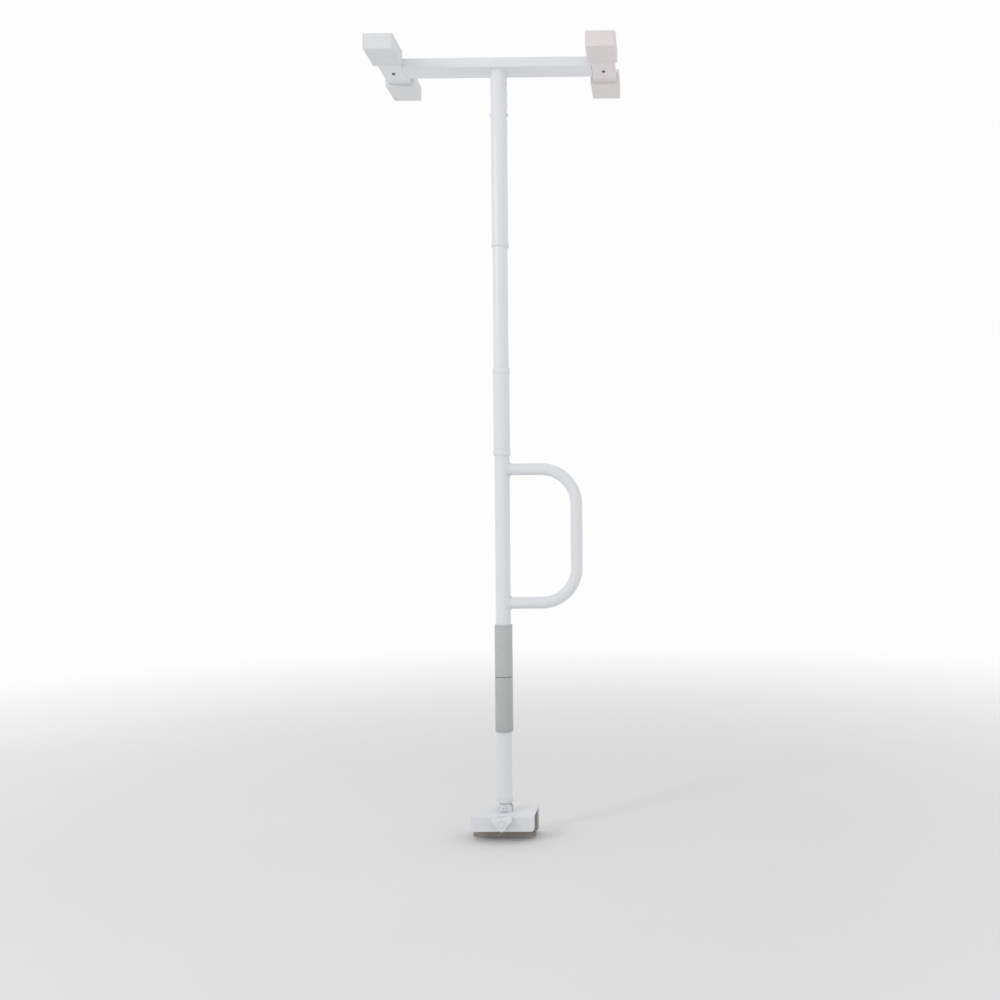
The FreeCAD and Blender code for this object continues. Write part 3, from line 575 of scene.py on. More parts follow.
WHITE_PAINT = PowderCoat("white_powder_coat", "white_paint", (0.745, 0.762, 0.785))
WARM_PAINT = PowderCoat("white_powder_coat_warm", "white_paint", (0.765, 0.715, 0.72))
KNOB_NYLON = MouldedPlastic("white_knob_nylon", "white_knob", (0.78, 0.785, 0.80))
GREY_FOAM = ClosedCellFoam("grey_grip_foam", "grey_foam", (0.50, 0.505, 0.51))
BOOT_RUBBER_COOL = Rubber("white_boot_rubber_cool", "white_rubber", (0.715, 0.722, 0.742), 0.03)
BOOT_RUBBER_WARM = Rubber("white_boot_rubber_warm", "white_rubber", (0.745, 0.70, 0.702), 0.03)
DARK_RUBBER = Rubber("dark_rim_rubber", "dark_rubber", (0.33, 0.298, 0.27), 0.12, 0.74)
ZINC = Metal("zinc_plate", "zinc_steel", (0.58, 0.59, 0.60), 0.32)
# Painted shade: a dark zinc that stands for the shade in the end bolts' recesses.
RECESS_SHADE_ZINC = Metal("zinc_darkened_as_recess_shade", "zinc_steel", (0.16, 0.16, 0.17), 0.36)
SPRING = Metal("spring_steel_blue", "spring_steel", (0.36, 0.37, 0.39), 0.28, (0.06, 1.0, 1.0))
BRONZE = Metal("cast_bronze", "bronze", (0.55, 0.36, 0.17), 0.38, (1.0, 1.0, 0.2))
NYLON = MouldedPlastic("natural_nylon", "nylon", (0.78, 0.77, 0.73), 0.48, 0.12)
SLOT_FINISHES = {f.slot: f for f in (WHITE_PAINT, KNOB_NYLON, GREY_FOAM, DARK_RUBBER, ZINC, SPRING, BRONZE, NYLON)}


# --- pieces ---


def linked(name: str, data: bpy.types.ID) -> bpy.types.Object:
    """A new object of the scene that shows a mesh, a lamp or a camera."""
    made = bpy.data.objects.new(name, data)
    bpy.context.scene.collection.objects.link(made)
    return made


def make_piece(
    name: str, skins: list[Skin], finish: Finish, body: str, node: str, sharp: float = 32
) -> bpy.types.Object:
    """Puts skins into one mesh and hands the piece to its body.

    Args:
        name: the piece's name.
        skins: its closed surfaces.
        finish: what it is coated with or made of.
        body: the CAD body that it moves with.
        node: the CAD node that it stands for.
        sharp: the angle in degrees past which an edge stays crisp.

    Returns:
        The piece's object.
    """
    base = np.cumsum([0] + [len(s.points) for s in skins])
    points = np.concatenate([s.points for s in skins]) * MM
    quads = np.concatenate([s.quads + b for s, b in zip(skins, base)])
    triangles = np.concatenate([s.triangles + b for s, b in zip(skins, base)])
    loops = np.concatenate([quads.ravel(), triangles.ravel()]).astype(np.int32)
    starts = np.concatenate([np.arange(len(quads)) * 4, len(quads) * 4 + np.arange(len(triangles)) * 3])
    mesh = bpy.data.meshes.new(name)
    mesh.vertices.add(len(points))
    mesh.vertices.foreach_set("co", points.astype(np.float32).ravel())
    mesh.loops.add(len(loops))
    mesh.loops.foreach_set("vertex_index", loops)
    mesh.polygons.add(len(starts))
    mesh.polygons.foreach_set("loop_start", starts.astype(np.int32))
    mesh.update(calc_edges=True)
    mesh.validate()
    mesh.shade_smooth()
    mesh.set_sharp_from_angle(angle=math.radians(sharp))
    mesh.materials.append(finish.material())
    piece = linked(name, mesh)
    piece.modifiers.new("even_shading", "WEIGHTED_NORMAL").keep_sharp = True
    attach(piece, body)
    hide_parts(node)
    log.info("%s: %d faces on %s, %s", name, len(starts), body, finish.name)
    return piece


def make_ring(
    name: str,
    node: str,
    inner: float,
    edges: float | list[float],
    finish: Finish = WHITE_PAINT,
    body: str = "upper_pole",
    steps: int = 4,
) -> None:
    """A plain tube or ring on the pole's axis, as wide and as tall as its CAD node.

    Args:
        name: the piece's name.
        node: the CAD node that it stands for.
        inner: the radius of its bore.
        edges: the radius of its rounded edges, or one for each from the inner lower one on.
        finish: the piece's finish.
        body: the body that it moves with.
        steps: how many pieces each edge's arc has.
    """
    low, high = box_of(node)
    section = ring_section(inner, high[0], low[2], high[2], edges, steps)
    make_piece(name, [turned(section)], finish, body, node)


@dataclass
class RimSaddle:
    """The pressed saddle that sits over the rim, with its rubber liners and the clamp's nut."""

    plate: float = 5.0
    bend: float = 8.0
    corner: float = 9.0
    edge: float = 0.9
    front_end: float = -35.0
    rib_pitch: float = 4.0
    rib_depth: float = 0.7
    rib_margin: float = 2.0
    rounding: float = 0.6

    def saddle(self) -> None:
        """Bends one sheet over the rim and thickens it.

        The sheet's middle runs up the front flange, over the top and down the rear flange on two
        quarter bends. Near each flange's lower end it narrows by corner - sqrt(corner^2 - (corner -
        distance from the end)^2), which rounds the four corners.
        """
        low, high = box_of("saddle")
        half = self.plate / 2
        front, rear, top = low[1] + half, high[1] - half, high[2] - half
        radius = self.bend - half
        q = quarter(11)
        front_bend = np.stack([front + radius * (1 - np.cos(q)), top - radius * (1 - np.sin(q))], -1)
        rear_bend = np.stack([rear - radius * (1 - np.sin(q)), top - radius * (1 - np.cos(q))], -1)
        fan = self.corner * (1 - np.cos(quarter(9)))
        front_leg = np.stack([np.full_like(fan, front), self.front_end + fan], -1)
        rear_leg = np.stack([np.full_like(fan, rear), low[2] + fan[::-1]], -1)
        line = np.concatenate([front_leg, front_bend, rear_bend, rear_leg])
        drop = np.full(len(line), self.corner)
        drop[: len(fan)], drop[-len(fan) :] = fan, fan[::-1]
        half_width = high[0] - self.corner + np.sqrt(self.corner**2 - (self.corner - drop) ** 2)
        x = half_width[:, None] * np.array([-1.0, 0.0, 1.0])
        y, z = (np.broadcast_to(column[:, None], x.shape) for column in line.T)
        skin = Skin.sewn(np.stack([x, y, z], -1).reshape(-1, 3), net(*x.shape, False, False))
        piece = make_piece("rim_saddle", [skin], WHITE_PAINT, "foot", "saddle")
        piece.modifiers.clear()
        wall = piece.modifiers.new("plate", "SOLIDIFY")
        wall.thickness, wall.offset, wall.use_even_offset = self.plate * MM, 0, True
        rim = piece.modifiers.new("edges", "BEVEL")
        rim.width, rim.segments, rim.limit_method, rim.angle_limit = self.edge * MM, 3, "ANGLE", math.radians(50)
        piece.modifiers.new("joined_edges", "WELD").merge_threshold = 0.02 * MM
        piece.modifiers.new("even_shading", "WEIGHTED_NORMAL").keep_sharp = True

    def ribbed_sheet(self, node: str, name: str, body: str, faces_rim: Axis, side: int) -> None:
        """A rubber sheet with ribs along X on the side that grips the rim.

        The ribs are rib_depth (1 - cos(2 pi distance / rib_pitch)) / 2 deep, flattened at their tops.

        Args:
            node: the CAD node that it stands for.
            name: the piece's name.
            body: the body that it moves with.
            faces_rim: the axis that the ribbed face looks along.
            side: 1 where that face is at the axis's high end, -1 at its low end.
        """
        low, high = box_of(node)
        middle, size = (low + high) / 2, high - low
        thick, length = (size[1], size[2]) if faces_rim is Axis.Y else (size[2], size[1])
        reach = length / 2 - self.rib_margin
        count = int(2 * reach / self.rib_pitch) * 12 + 1
        run = np.linspace(-reach, reach, count)
        wave = 0.5 - 0.5 * np.cos(FULL_TURN * (run - run[0]) / self.rib_pitch)
        groove = self.rib_depth * np.clip(1.6 * wave - 0.45, 0, 1)
        ends = self.rounding * (1 - np.cos(quarter(4))) - length / 2
        run = np.concatenate([ends, run, -ends[::-1]])
        ease = self.rounding * (1 - np.sin(quarter(4)))
        groove = np.concatenate([ease, groove, ease[::-1]])
        plain = np.concatenate([ease, np.zeros(count), ease[::-1]])
        face, back = np.stack([run, thick / 2 - groove], -1), np.stack([run, plain - thick / 2], -1)
        outline = np.concatenate([back, face[::-1]])
        if faces_rim is Axis.Y:
            outline = outline[:, ::-1] * (side, 1)
            outline = outline[::-1] if side > 0 else outline
        else:
            outline = outline * (1, side)
            outline = outline if side > 0 else outline[::-1]
        skin = block(outline, -size[0] / 2, size[0] / 2, 0.5, Axis.X, tuple(middle))
        make_piece(name, [skin], DARK_RUBBER, body, node, 50)

    def build(self) -> None:
        """Builds the sub-assembly."""
        self.saddle()
        self.ribbed_sheet("seat_liner", "rim_seat_liner", "foot", Axis.Z, -1)
        self.ribbed_sheet("rear_liner", "rim_rear_liner", "foot", Axis.Y, -1)
        hexagonal_nut("rim_clamp_nut", "clamp_nut", 5.1, ZINC)


def hexagonal_nut(name: str, node: str, bore: float, finish: Finish) -> None:
    """A hexagonal nut of the foot, along Y.

    Its radius is the smaller of the hexagon's and of a cone's that cuts the corners at each end.

    Args:
        name: the piece's name.
        node: the CAD node that it stands for.
        bore: the radius of the bore.
        finish: the nut's finish.
    """
    low, high = box_of(node)
    middle, deep = (low + high) / 2, (high - low)[1] / 2
    flat = (high - low)[0] / 2 * math.cos(math.pi / 6)
    outline = hexagon(flat)
    cut = np.array([0.0, 0.4, 0.8, 1.3])
    cone = flat * 0.985 + cut * math.tan(math.radians(58))
    rings = [(bore + 0.5, -deep), *((np.minimum(outline, c), d - deep) for c, d in zip(cone, cut))]
    rings += [(np.minimum(outline, c), deep - d) for c, d in zip(cone[::-1], cut[::-1])]
    rings += [(bore + 0.5, deep), (bore, deep - 0.5), (bore, 0.5 - deep)]
    make_piece(name, [stacked(rings, Axis.Y, tuple(middle), ring=True)], finish, "foot", node)


@dataclass
class RimClamp:
    """The hand screw that grips the rim: knob, cap, threaded screw, cup, pressure plate and rubber pad."""

    height: float = -11.0
    pitch: float = 4.0
    thread_depth: float = 0.8
    thread_start: float = -41.5
    thread_end: float = -17.0
    hub: float = 15.0
    lobe: float = 9.5
    reach: float = 19.0
    tail: float = 9.5
    edge: float = 2.6
    blend: float = 1.3

    def knob_outline(self, segments: int) -> np.ndarray:
        """The knob's radius at each angle, with a short lobe down and two long ones up.

        Along a direction that is a from a lobe's, the lobe's far side lies reach cos a +
        sqrt(lobe^2 - reach^2 sin^2 a) out. The outline is the smooth largest of the lobes and the hub.

        Args:
            segments: how many points go round.

        Returns:
            The radii in millimetres.
        """
        aims = np.radians([-90.0, 30.0, 150.0])[:, None]
        reach = np.array([self.tail, self.reach, self.reach])[:, None]
        off = (around(segments) - aims + math.pi) % FULL_TURN - math.pi
        chord = np.sqrt(np.clip(self.lobe**2 - (reach * np.sin(off)) ** 2, 0, None))
        lobes = np.where(np.abs(off) < math.pi / 2, reach * np.cos(off) + chord, 0)
        heights = np.concatenate([lobes, np.full((1, segments), self.hub)])
        return self.blend * np.log(np.exp((heights - 20) / self.blend).sum(0)) + 20

    def knob(self) -> None:
        """The three-lobe knob: a rounded back and front, a crowned face and a recess for the cap."""
        low, high = box_of("hand_knob")
        segments = 240
        outline = self.knob_outline(segments)
        outline *= (high[0] - low[0]) / 2 / (outline * np.cos(around(segments))).max()
        depth = high[1] - low[1]
        crown = 1.6 * np.clip((outline - self.hub) / self.lobe, 0, 1)
        rings = [(0, depth), (5.2, depth), (9.5, depth), (11.0, depth - 0.6), (11.4, depth - 2.0)]
        eased = [(outline - self.edge * (1 - math.sin(a)), self.edge * (1 - math.cos(a))) for a in quarter(7)]
        rings += [(outline - self.edge, depth - 2.0), *((radius, depth - 2 - inset) for radius, inset in eased)]
        rings += [(outline * 0.992, depth / 2), *((radius, inset + crown) for radius, inset in eased[::-1])]
        rings += [(outline - self.edge - 1.5, crown * 0.8), (12.0, 0.0), (10.0, 0.0), (9.4, 0.35)]
        rings += [(9.25, 1.6), (9.2, 2.0), (0, 2.0)]
        skin = stacked(rings, Axis.Y, (0, low[1], self.height), segments)
        make_piece("clamp_hand_knob", [skin], KNOB_NYLON, "knob", "hand_knob")

    def cap(self) -> None:
        """The domed cap that hides the screw's end in the knob."""
        low, high = box_of("knob_cap")
        radius, depth = (high[0] - low[0]) / 2, high[1] - low[1]
        rings = [(radius * 0.96 * t, 0.05 + 0.5 * t**2) for t in np.linspace(0, 1, 7)]
        rings += [(radius, 0.9), (radius, depth), (0, depth)]
        skin = stacked(rings, Axis.Y, (0, low[1], self.height))
        make_piece("clamp_knob_cap", [skin], KNOB_NYLON, "knob", "knob_cap")

    def screw(self) -> None:
        """The clamp screw with its thread.

        At a distance d along it and an angle a the thread's phase is d / pitch - a / 2 pi, and the
        radius falls by thread_depth where the phase is near a half.
        """
        low, high = box_of("clamp_screw")
        radius, segments = (high[0] - low[0]) / 2 - 0.02, 48
        along = np.arange(low[1], high[1], self.pitch / 12)
        angle = np.arange(segments) / segments
        phase = (along[:, None] / self.pitch - angle) % 1
        groove = np.clip((1 - np.abs(2 * phase - 1)) * 1.7 - 0.35, 0, 1) * self.thread_depth
        plain = (along > self.thread_end) | (along < self.thread_start)
        ease = np.clip(np.minimum(along - low[1], high[1] - along) / 0.8, 0, 1)
        body = radius - np.where(plain[:, None], 0, groove) - 0.8 * (1 - ease[:, None])
        rings = [(0, low[1]), *zip(body, along), (radius - 0.8, high[1]), (0, high[1])]
        skin = stacked(rings, Axis.Y, (0, 0, self.height), segments)
        make_piece("clamp_threaded_screw", [skin], ZINC, "knob", "clamp_screw")

    def cup(self) -> None:
        """The flanged cup that the screw's end turns in."""
        low, high = box_of("screw_cup")
        radius = (high[0] - low[0]) / 2
        section = rounded(
            [(5.15, low[1]), (radius - 1.6, low[1]), (radius - 1.6, high[1] - 1.4), (radius, high[1] - 1.4)]
            + [(radius, high[1]), (5.15, high[1])],
            [0.4, 0.9, 0.5, 0.4, 0.2, 0.2],
            4,
        )
        skin = turned(section, Axis.Y, 96, (0, 0, self.height))
        make_piece("clamp_screw_cup", [skin], ZINC, "clamp", "screw_cup")

    def plate(self) -> None:
        """The steel plate behind the pad, with rounded corners and eased edges."""
        low, high = box_of("pressure_plate")
        size, middle = high - low, (low + high) / 2
        skin = block(rectangle(size[0], size[2], 5, 8), low[1], high[1], 0.6, Axis.Y, (middle[0], 0, middle[2]))
        make_piece("clamp_pressure_plate", [skin], ZINC, "clamp", "pressure_plate")

    def build(self) -> None:
        """Builds the sub-assembly."""
        self.knob()
        self.cap()
        self.screw()
        self.cup()
        self.plate()
        RimSaddle().ribbed_sheet("clamp_pad", "clamp_rubber_pad", "clamp", Axis.Y, 1)


@dataclass
class FootPivot:
    """The tilting foot of the pole: two arched ears, a bolt, and the collar that turns on them."""

    arch: float = 11.0
    edge: float = 0.8
    knurls: int = 44
    knurl_depth: float = 0.55

    def ears(self) -> None:
        """The two arched lugs that stand on the saddle."""
        for end in ("front", "rear"):
            low, high = box_of(f"pivot_ear_{end}")
            x, middle = high[0], (low[2] + high[2]) / 2
            z = (high[2] - low[2]) / 2
            outline = rounded([(-x, -z), (x, -z), (x, z), (-x, z)], [0.6, 0.6, self.arch, self.arch], 12)
            skin = block(outline, low[1], high[1], self.edge, Axis.Y, (0, 0, middle))
            make_piece(f"foot_{end}_ear", [skin], WHITE_PAINT, "foot", f"pivot_ear_{end}")

    def bolt(self) -> None:
        """The pivot bolt: a domed head with a hexagonal socket, and a plain shank."""
        low, high = box_of("pivot_bolt")
        head, socket = (high[0] - low[0]) / 2, hexagon(2.4)
        face = low[1]
        rings = [(0, face + 2.6), (socket, face + 2.6), (socket, face + 0.4), (socket + 0.35, face + 0.05)]
        rings += [(4.0 + (head - 4.0) * math.sin(a), face + 2.4 * (1 - math.cos(a))) for a in quarter(7)]
        rings += [(head, face + 4.7), (head - 0.3, face + 5.0), (3.98, face + 5.0), (3.98, high[1] - 0.6)]
        rings += [(3.4, high[1]), (0, high[1])]
        skin = stacked(rings, Axis.Y, (0, 0, centre_of("pivot_bolt")[2]))
        make_piece("foot_pivot_bolt", [skin], WHITE_PAINT, "foot", "pivot_bolt")

    def washers(self) -> None:
        """The two plain washers outside the ears."""
        low, high = box_of("pivot_washers")
        radius, thick = (high[0] - low[0]) / 2, 1.6
        sections = [ring_section(4.1, radius, y, y + thick, 0.3, 3) for y in (low[1], high[1] - thick)]
        skins = [turned(s, Axis.Y, 96, (0, 0, centre_of("pivot_washers")[2])) for s in sections]
        make_piece("foot_pivot_washers", skins, WHITE_PAINT, "foot", "pivot_washers")

    def collar(self) -> None:
        """The knurled collar at the pole's foot.

        Two families of slanting grooves cross. Each is |2 frac(knurls a / 2 pi +- height / pitch) - 1|,
        the diamonds are the lower of the two, and they fade out at the collar's two ends.
        """
        low, high = box_of("foot_collar")
        radius, inner = high[0], radius_of("lower_tube") + 0.05
        segments = self.knurls * 10
        turn = np.arange(segments) / segments * self.knurls
        height = np.linspace(low[2], high[2], 37)
        pitch = FULL_TURN * radius / self.knurls
        climb = (height / pitch)[:, None]
        right, left = np.abs(2 * ((turn + climb) % 1) - 1), np.abs(2 * ((turn - climb) % 1) - 1)
        diamond = np.clip(1.5 * np.minimum(right, left), 0, 1)
        inset = np.minimum(height - low[2], high[2] - height)[:, None]
        fade = np.clip(inset / 1.2 - 0.4, 0, 1)
        ease = 0.5 * (1 - np.clip(inset / 0.5, 0, 1))
        outer = radius - self.knurl_depth * fade * (1 - diamond) - ease
        rings = [(inner, low[2]), *zip(outer, height), (inner, high[2])]
        skin = stacked(rings, segments=segments, ring=True)
        make_piece("foot_knurled_collar", [skin], WHITE_PAINT, "lower_pole", "foot_collar", 60)

    def build(self) -> None:
        """Builds the sub-assembly."""
        self.ears()
        self.bolt()
        self.washers()
        hexagonal_nut("foot_pivot_nut", "pivot_nut", 4.05, WHITE_PAINT)
        finish = SLOT_FINISHES[slot_of("thrust_washer")]
        make_ring("foot_thrust_washer", "thrust_washer", 8.1, 0.4, finish, "swivel", 3)
        self.collar()


@dataclass
class Grips:
    """The two foam grips: a rolled lip at each outer end, a soft shoulder and a faintly uneven skin."""

    lip: float = 10.0
    sink: float = 1.1
    shoulder: float = 2.4
    waver: float = 0.14

    def grip(self, node: str, body: str, lip_up: bool) -> None:
        """One grip.

        Its profile is resampled about every millimetre, and the radius wavers by
        waver (sin(3 angle + height / 19) + 0.6 sin(5 angle - height / 13)).

        Args:
            node: the CAD node that it stands for.
            body: the body that it moves with.
            lip_up: whether the lip is at the upper end.
        """
        low, high = box_of(node)
        radius, length = high[0] - 0.15, high[2] - low[2]
        inner = radius_of("lower_tube") + 0.1
        near, far = radius, radius - 0.35
        groove = [(near, 4.6), (near - self.sink, 5.3), (near - self.sink, 6.0), (near, 6.7)]
        corners = [(inner, 0), (near, 0), *groove, (near, self.lip), (near - self.sink, self.lip + 0.8)]
        corners += [(near - self.sink, self.lip + 2.0), (far, self.lip + 2.8), (far, length), (inner, length)]
        section = rounded(corners, [0.8, self.shoulder, 0.3, 0.2, 0.2, 0.3, 0.5, 0.3, 0.3, 0.5, 0.5, 0.4], 8)
        if lip_up:
            section = (section * (1, -1) + (0, length))[::-1]
        step = np.linalg.norm(np.roll(section, -1, 0) - section, axis=1)
        run = np.concatenate([[0], np.cumsum(step)])
        even = np.linspace(0, run[-1], int(run[-1] / 0.9), endpoint=False)
        looped = np.concatenate([section, section[:1]])
        r, z = np.interp(even, run, looped[:, 0]), np.interp(even, run, looped[:, 1]) + low[2]
        angle = around(ROUND)
        wave = np.sin(3 * angle + z[:, None] / 19) + 0.6 * np.sin(5 * angle - z[:, None] / 13)
        share = np.clip((r[:, None] - inner) / (radius - inner), 0, 1)
        rings = list(zip(r[:, None] + self.waver * 0.6 * share * (wave - 0.6), z))
        skin = turned(rings)
        piece = make_piece(f"foam_{node}", [skin], GREY_FOAM, body, node, 60)

    def build(self) -> None:
        """Builds the sub-assembly."""
        self.grip("lower_grip", "lower_pole", False)
        self.grip("upper_grip", "upper_pole", True)


@dataclass
class Punched:
    """A tube with a row of round holes on two opposite sides, as a net that fits round each hole.

    Round a hole the net's lines run from the circle to a rectangle one hole pitch high, point k of
    the circle to point k of the rectangle. The rectangles stack into two strips, and plain nets
    with as many rows fill the sides between them.
    """

    outer: float
    inner: float
    bottom: float
    top: float
    heights: np.ndarray
    pitch: float
    hole: float
    steps: int = 12
    half_strip: float = 9.0

    def patch(self) -> tuple[np.ndarray, np.ndarray]:
        """The net round one hole, unrolled: its points (rings, points, 2) from the circle to the rectangle.

        Returns:
            The points, and the rectangle's side positions from -1 to 1.
        """
        s = np.linspace(-1, 1, self.steps + 1)
        one = np.ones(self.steps)
        low, high = s[:-1], s[1:][::-1]
        edge = np.concatenate([np.stack(side, -1) for side in ((low, -one), (one, low), (high, one), (-one, high))])
        reach = np.array([self.half_strip, self.pitch / 2])
        bearing = np.arctan2(edge[:, 1] * self.pitch / 2, edge[:, 0] * self.half_strip)
        ring = self.hole * np.stack([np.cos(bearing), np.sin(bearing)], -1)
        t = np.array([0.0, 0.08, 0.3, 0.53, 0.77, 1.0])[:, None, None]
        return ring + t * (edge * reach - ring), s

    def wrapped(self, flat: np.ndarray, radius: float, facing: float) -> np.ndarray:
        """Rolls points of (distance round, height) on to a cylinder.

        Args:
            flat: the points, with distances measured on the outer skin.
            radius: the cylinder's radius.
            facing: the angle that distance 0 lies at.

        Returns:
            The rolled points.
        """
        angle = flat[..., 0] / self.outer + facing
        return np.stack([radius * np.cos(angle), radius * np.sin(angle), flat[..., 1]], -1)

    def skin(self) -> Skin:
        """The whole tube as one skin: outside, inside, two ends and the holes' walls."""
        patch, s = self.patch()
        points, faces, count = [], [], 0

        def lay(grid: np.ndarray, wrap: bool = False) -> None:
            """Adds one grid of points and its faces."""
            nonlocal count
            rows, columns = grid.shape[:2]
            points.append(grid.reshape(-1, 3))
            faces.append(net(rows, columns, False, wrap) + count)
            count += rows * columns

        rows = self.steps * len(self.heights)
        strip_low, strip_high = self.heights[0] - self.pitch / 2, self.heights[-1] + self.pitch / 2
        levels = np.linspace(strip_low, strip_high, rows + 1)
        side = np.linspace(self.half_strip, math.pi * self.outer - self.half_strip, 49)
        strip = self.half_strip * s
        ends = [(run, end) for run in (strip, side) for end in ((self.bottom, strip_low), (strip_high, self.top))]
        for facing in (0.0, math.pi):
            for radius, flip in ((self.outer, 1), (self.inner, -1)):
                for height in self.heights:
                    lay(self.wrapped(patch + (0, height), radius, facing)[::-flip], True)
                for fill in ((side, levels), *ends):
                    lay(self.wrapped(np.stack(np.meshgrid(*fill), -1)[::flip], radius, facing))
            both = (self.outer, self.inner)
            for height in self.heights:
                lay(np.stack([self.wrapped(patch[0] + (0, height), radius, facing) for radius in both]), True)
            for run in (strip, side):
                for height, flip in ((self.bottom, -1), (self.top, 1)):
                    flat = np.stack([run, np.full(len(run), height)], -1)
                    lay(np.stack([self.wrapped(flat, radius, facing) for radius in both])[::flip])
        return Skin.sewn(np.concatenate(points), np.concatenate(faces))


@dataclass
class Tubes:
    """The pole's plain tubes: the lower one, the jack's guide, the handle tube and the extension."""

    wall: float = 1.6
    edge: float = 0.4
    hole: float = 5.0

    def extension(self) -> None:
        """The extension tube, with the two holes that the snap buttons come out of."""
        low, high = box_of("extension_tube")
        height = centre_of("snap_button_left")[2]
        pitch = 2 * (high[2] - height) - 2
        tube = Punched(high[0], high[0] - self.wall, low[2], high[2], np.array([height]), pitch, self.hole)
        make_piece("pole_extension_tube", [tube.skin()], WHITE_PAINT, "upper_pole", "extension_tube")

    def build(self) -> None:
        """Builds the sub-assembly."""
        for node, name, body, finish in (
            ("lower_tube", "pole_lower_tube", "lower_pole", WHITE_PAINT),
            ("guide_tube", "jack_guide_tube", "lower_pole", ZINC),
            ("handle_tube", "pole_handle_tube", "upper_pole", WHITE_PAINT),
        ):
            make_ring(name, node, radius_of(node) - self.wall, self.edge, finish, body)
        self.extension()


@dataclass
class SideHandle:
    """The D-shaped handle, a bent tube coped to the pole, and its two weld beads."""

    radius: float = 15.0
    wall: float = 2.0
    bend: float = 90.0
    bead: float = 2.8
    ripples: int = 58

    def route(self) -> tuple[np.ndarray, np.ndarray]:
        """The handle's centre line: out along the upper arm, down the outer bar and back.

        Returns:
            The points (x, z) and the outward normals in the same plane.
        """
        low, high = box_of("d_handle")
        upper, lower = high[2] - self.radius, low[2] + self.radius
        out = high[0] - self.radius
        turn = out - self.bend
        q = quarter(41)[:, None]
        upper_bend, lower_bend = np.hstack([np.sin(q), np.cos(q)]), np.hstack([np.cos(q), -np.sin(q)])
        run = np.linspace(radius_of("handle_tube"), turn, 6)[:-1, None]
        bar = np.linspace(upper - self.bend, lower + self.bend, 8)[1:-1, None]
        stretches = (
            (np.hstack([run, np.full_like(run, upper)]), (0, 1)),
            (np.array([turn, upper - self.bend]) + self.bend * upper_bend, upper_bend),
            (np.hstack([np.full_like(bar, out), bar]), (1, 0)),
            (np.array([turn, lower + self.bend]) + self.bend * lower_bend, lower_bend),
            (np.hstack([run[::-1], np.full_like(run, lower)]), (0, -1)),
        )
        points = np.concatenate([line for line, _ in stretches])
        return points, np.concatenate([np.broadcast_to(normal, line.shape) for line, normal in stretches])

    def shell(self, radius: float) -> np.ndarray:
        """The rings of a skin round the handle's centre line.

        At an angle a round the tube a point is the centre + radius (cos a outward + sin a along Y).
        The first and last rings are moved along X on to the pole: x = sqrt(pole^2 - y^2).

        Args:
            radius: the skin's radius.

        Returns:
            The points (rings, around, 3).
        """
        points, normals = self.route()
        a = around(72)
        x = points[:, :1] + radius * np.cos(a) * normals[:, :1]
        z = points[:, 1:] + radius * np.cos(a) * normals[:, 1:]
        y = np.broadcast_to(radius * np.sin(a), x.shape)
        shell = np.stack([x, y, z], -1)
        shell[[0, -1], :, 0] = np.sqrt(radius_of("handle_tube") ** 2 - (radius * np.sin(a)) ** 2)
        return shell

    def weld(self, height: float, rise: int) -> Skin:
        """One bead on the line where an arm meets the pole.

        Its section is a circle about that line. Its radius swells by 0.07 (1 - (2 saw - 1)^2) of the
        bead, where the saw climbs once in each ripple, and wanders slowly by up to 0.05 of it.

        Args:
            height: the arm's height.
            rise: 1 for the upper arm, -1 for the lower.

        Returns:
            The bead's skin.
        """
        pole = radius_of("handle_tube")
        a = around(self.ripples * 8)
        y, z = self.radius * np.sin(a), rise * self.radius * np.cos(a)
        x = np.sqrt(pole**2 - y**2)
        line = np.stack([x, y, height + z], -1)
        out = np.stack([x, y, np.zeros_like(x)], -1) / pole
        up = np.stack([np.zeros_like(x), y, z], -1) / self.radius
        saw = (a * self.ripples / FULL_TURN) % 1
        size = self.bead * (1 + 0.07 * (1 - (2 * saw - 1) ** 2) + 0.03 * np.sin(3 * a + 1) + 0.02 * np.sin(7 * a))
        b = around(20)[None, :, None]
        ring = np.cos(b) * out[:, None] + np.sin(b) * up[:, None]
        ring /= np.linalg.norm(ring, axis=-1, keepdims=True)
        points = line[:, None] + size[:, None, None] * ring
        return Skin.sewn(points.reshape(-1, 3), net(len(a), 20, True, True))

    def build(self) -> None:
        """Builds the sub-assembly."""
        outer, inner = self.shell(self.radius), self.shell(self.radius - self.wall)
        rings = np.concatenate([outer, inner[::-1]])
        skin = Skin.sewn(rings.reshape(-1, 3), net(len(rings), rings.shape[1], True, True))
        make_piece("side_handle_tube", [skin], WHITE_PAINT, "upper_pole", "d_handle", 60)
        low, high = box_of("d_handle")
        beads = [self.weld(high[2] - self.radius, 1), self.weld(low[2] + self.radius, -1)]
        make_piece("side_handle_welds", beads, WHITE_PAINT, "upper_pole", "d_handle_welds", 70)


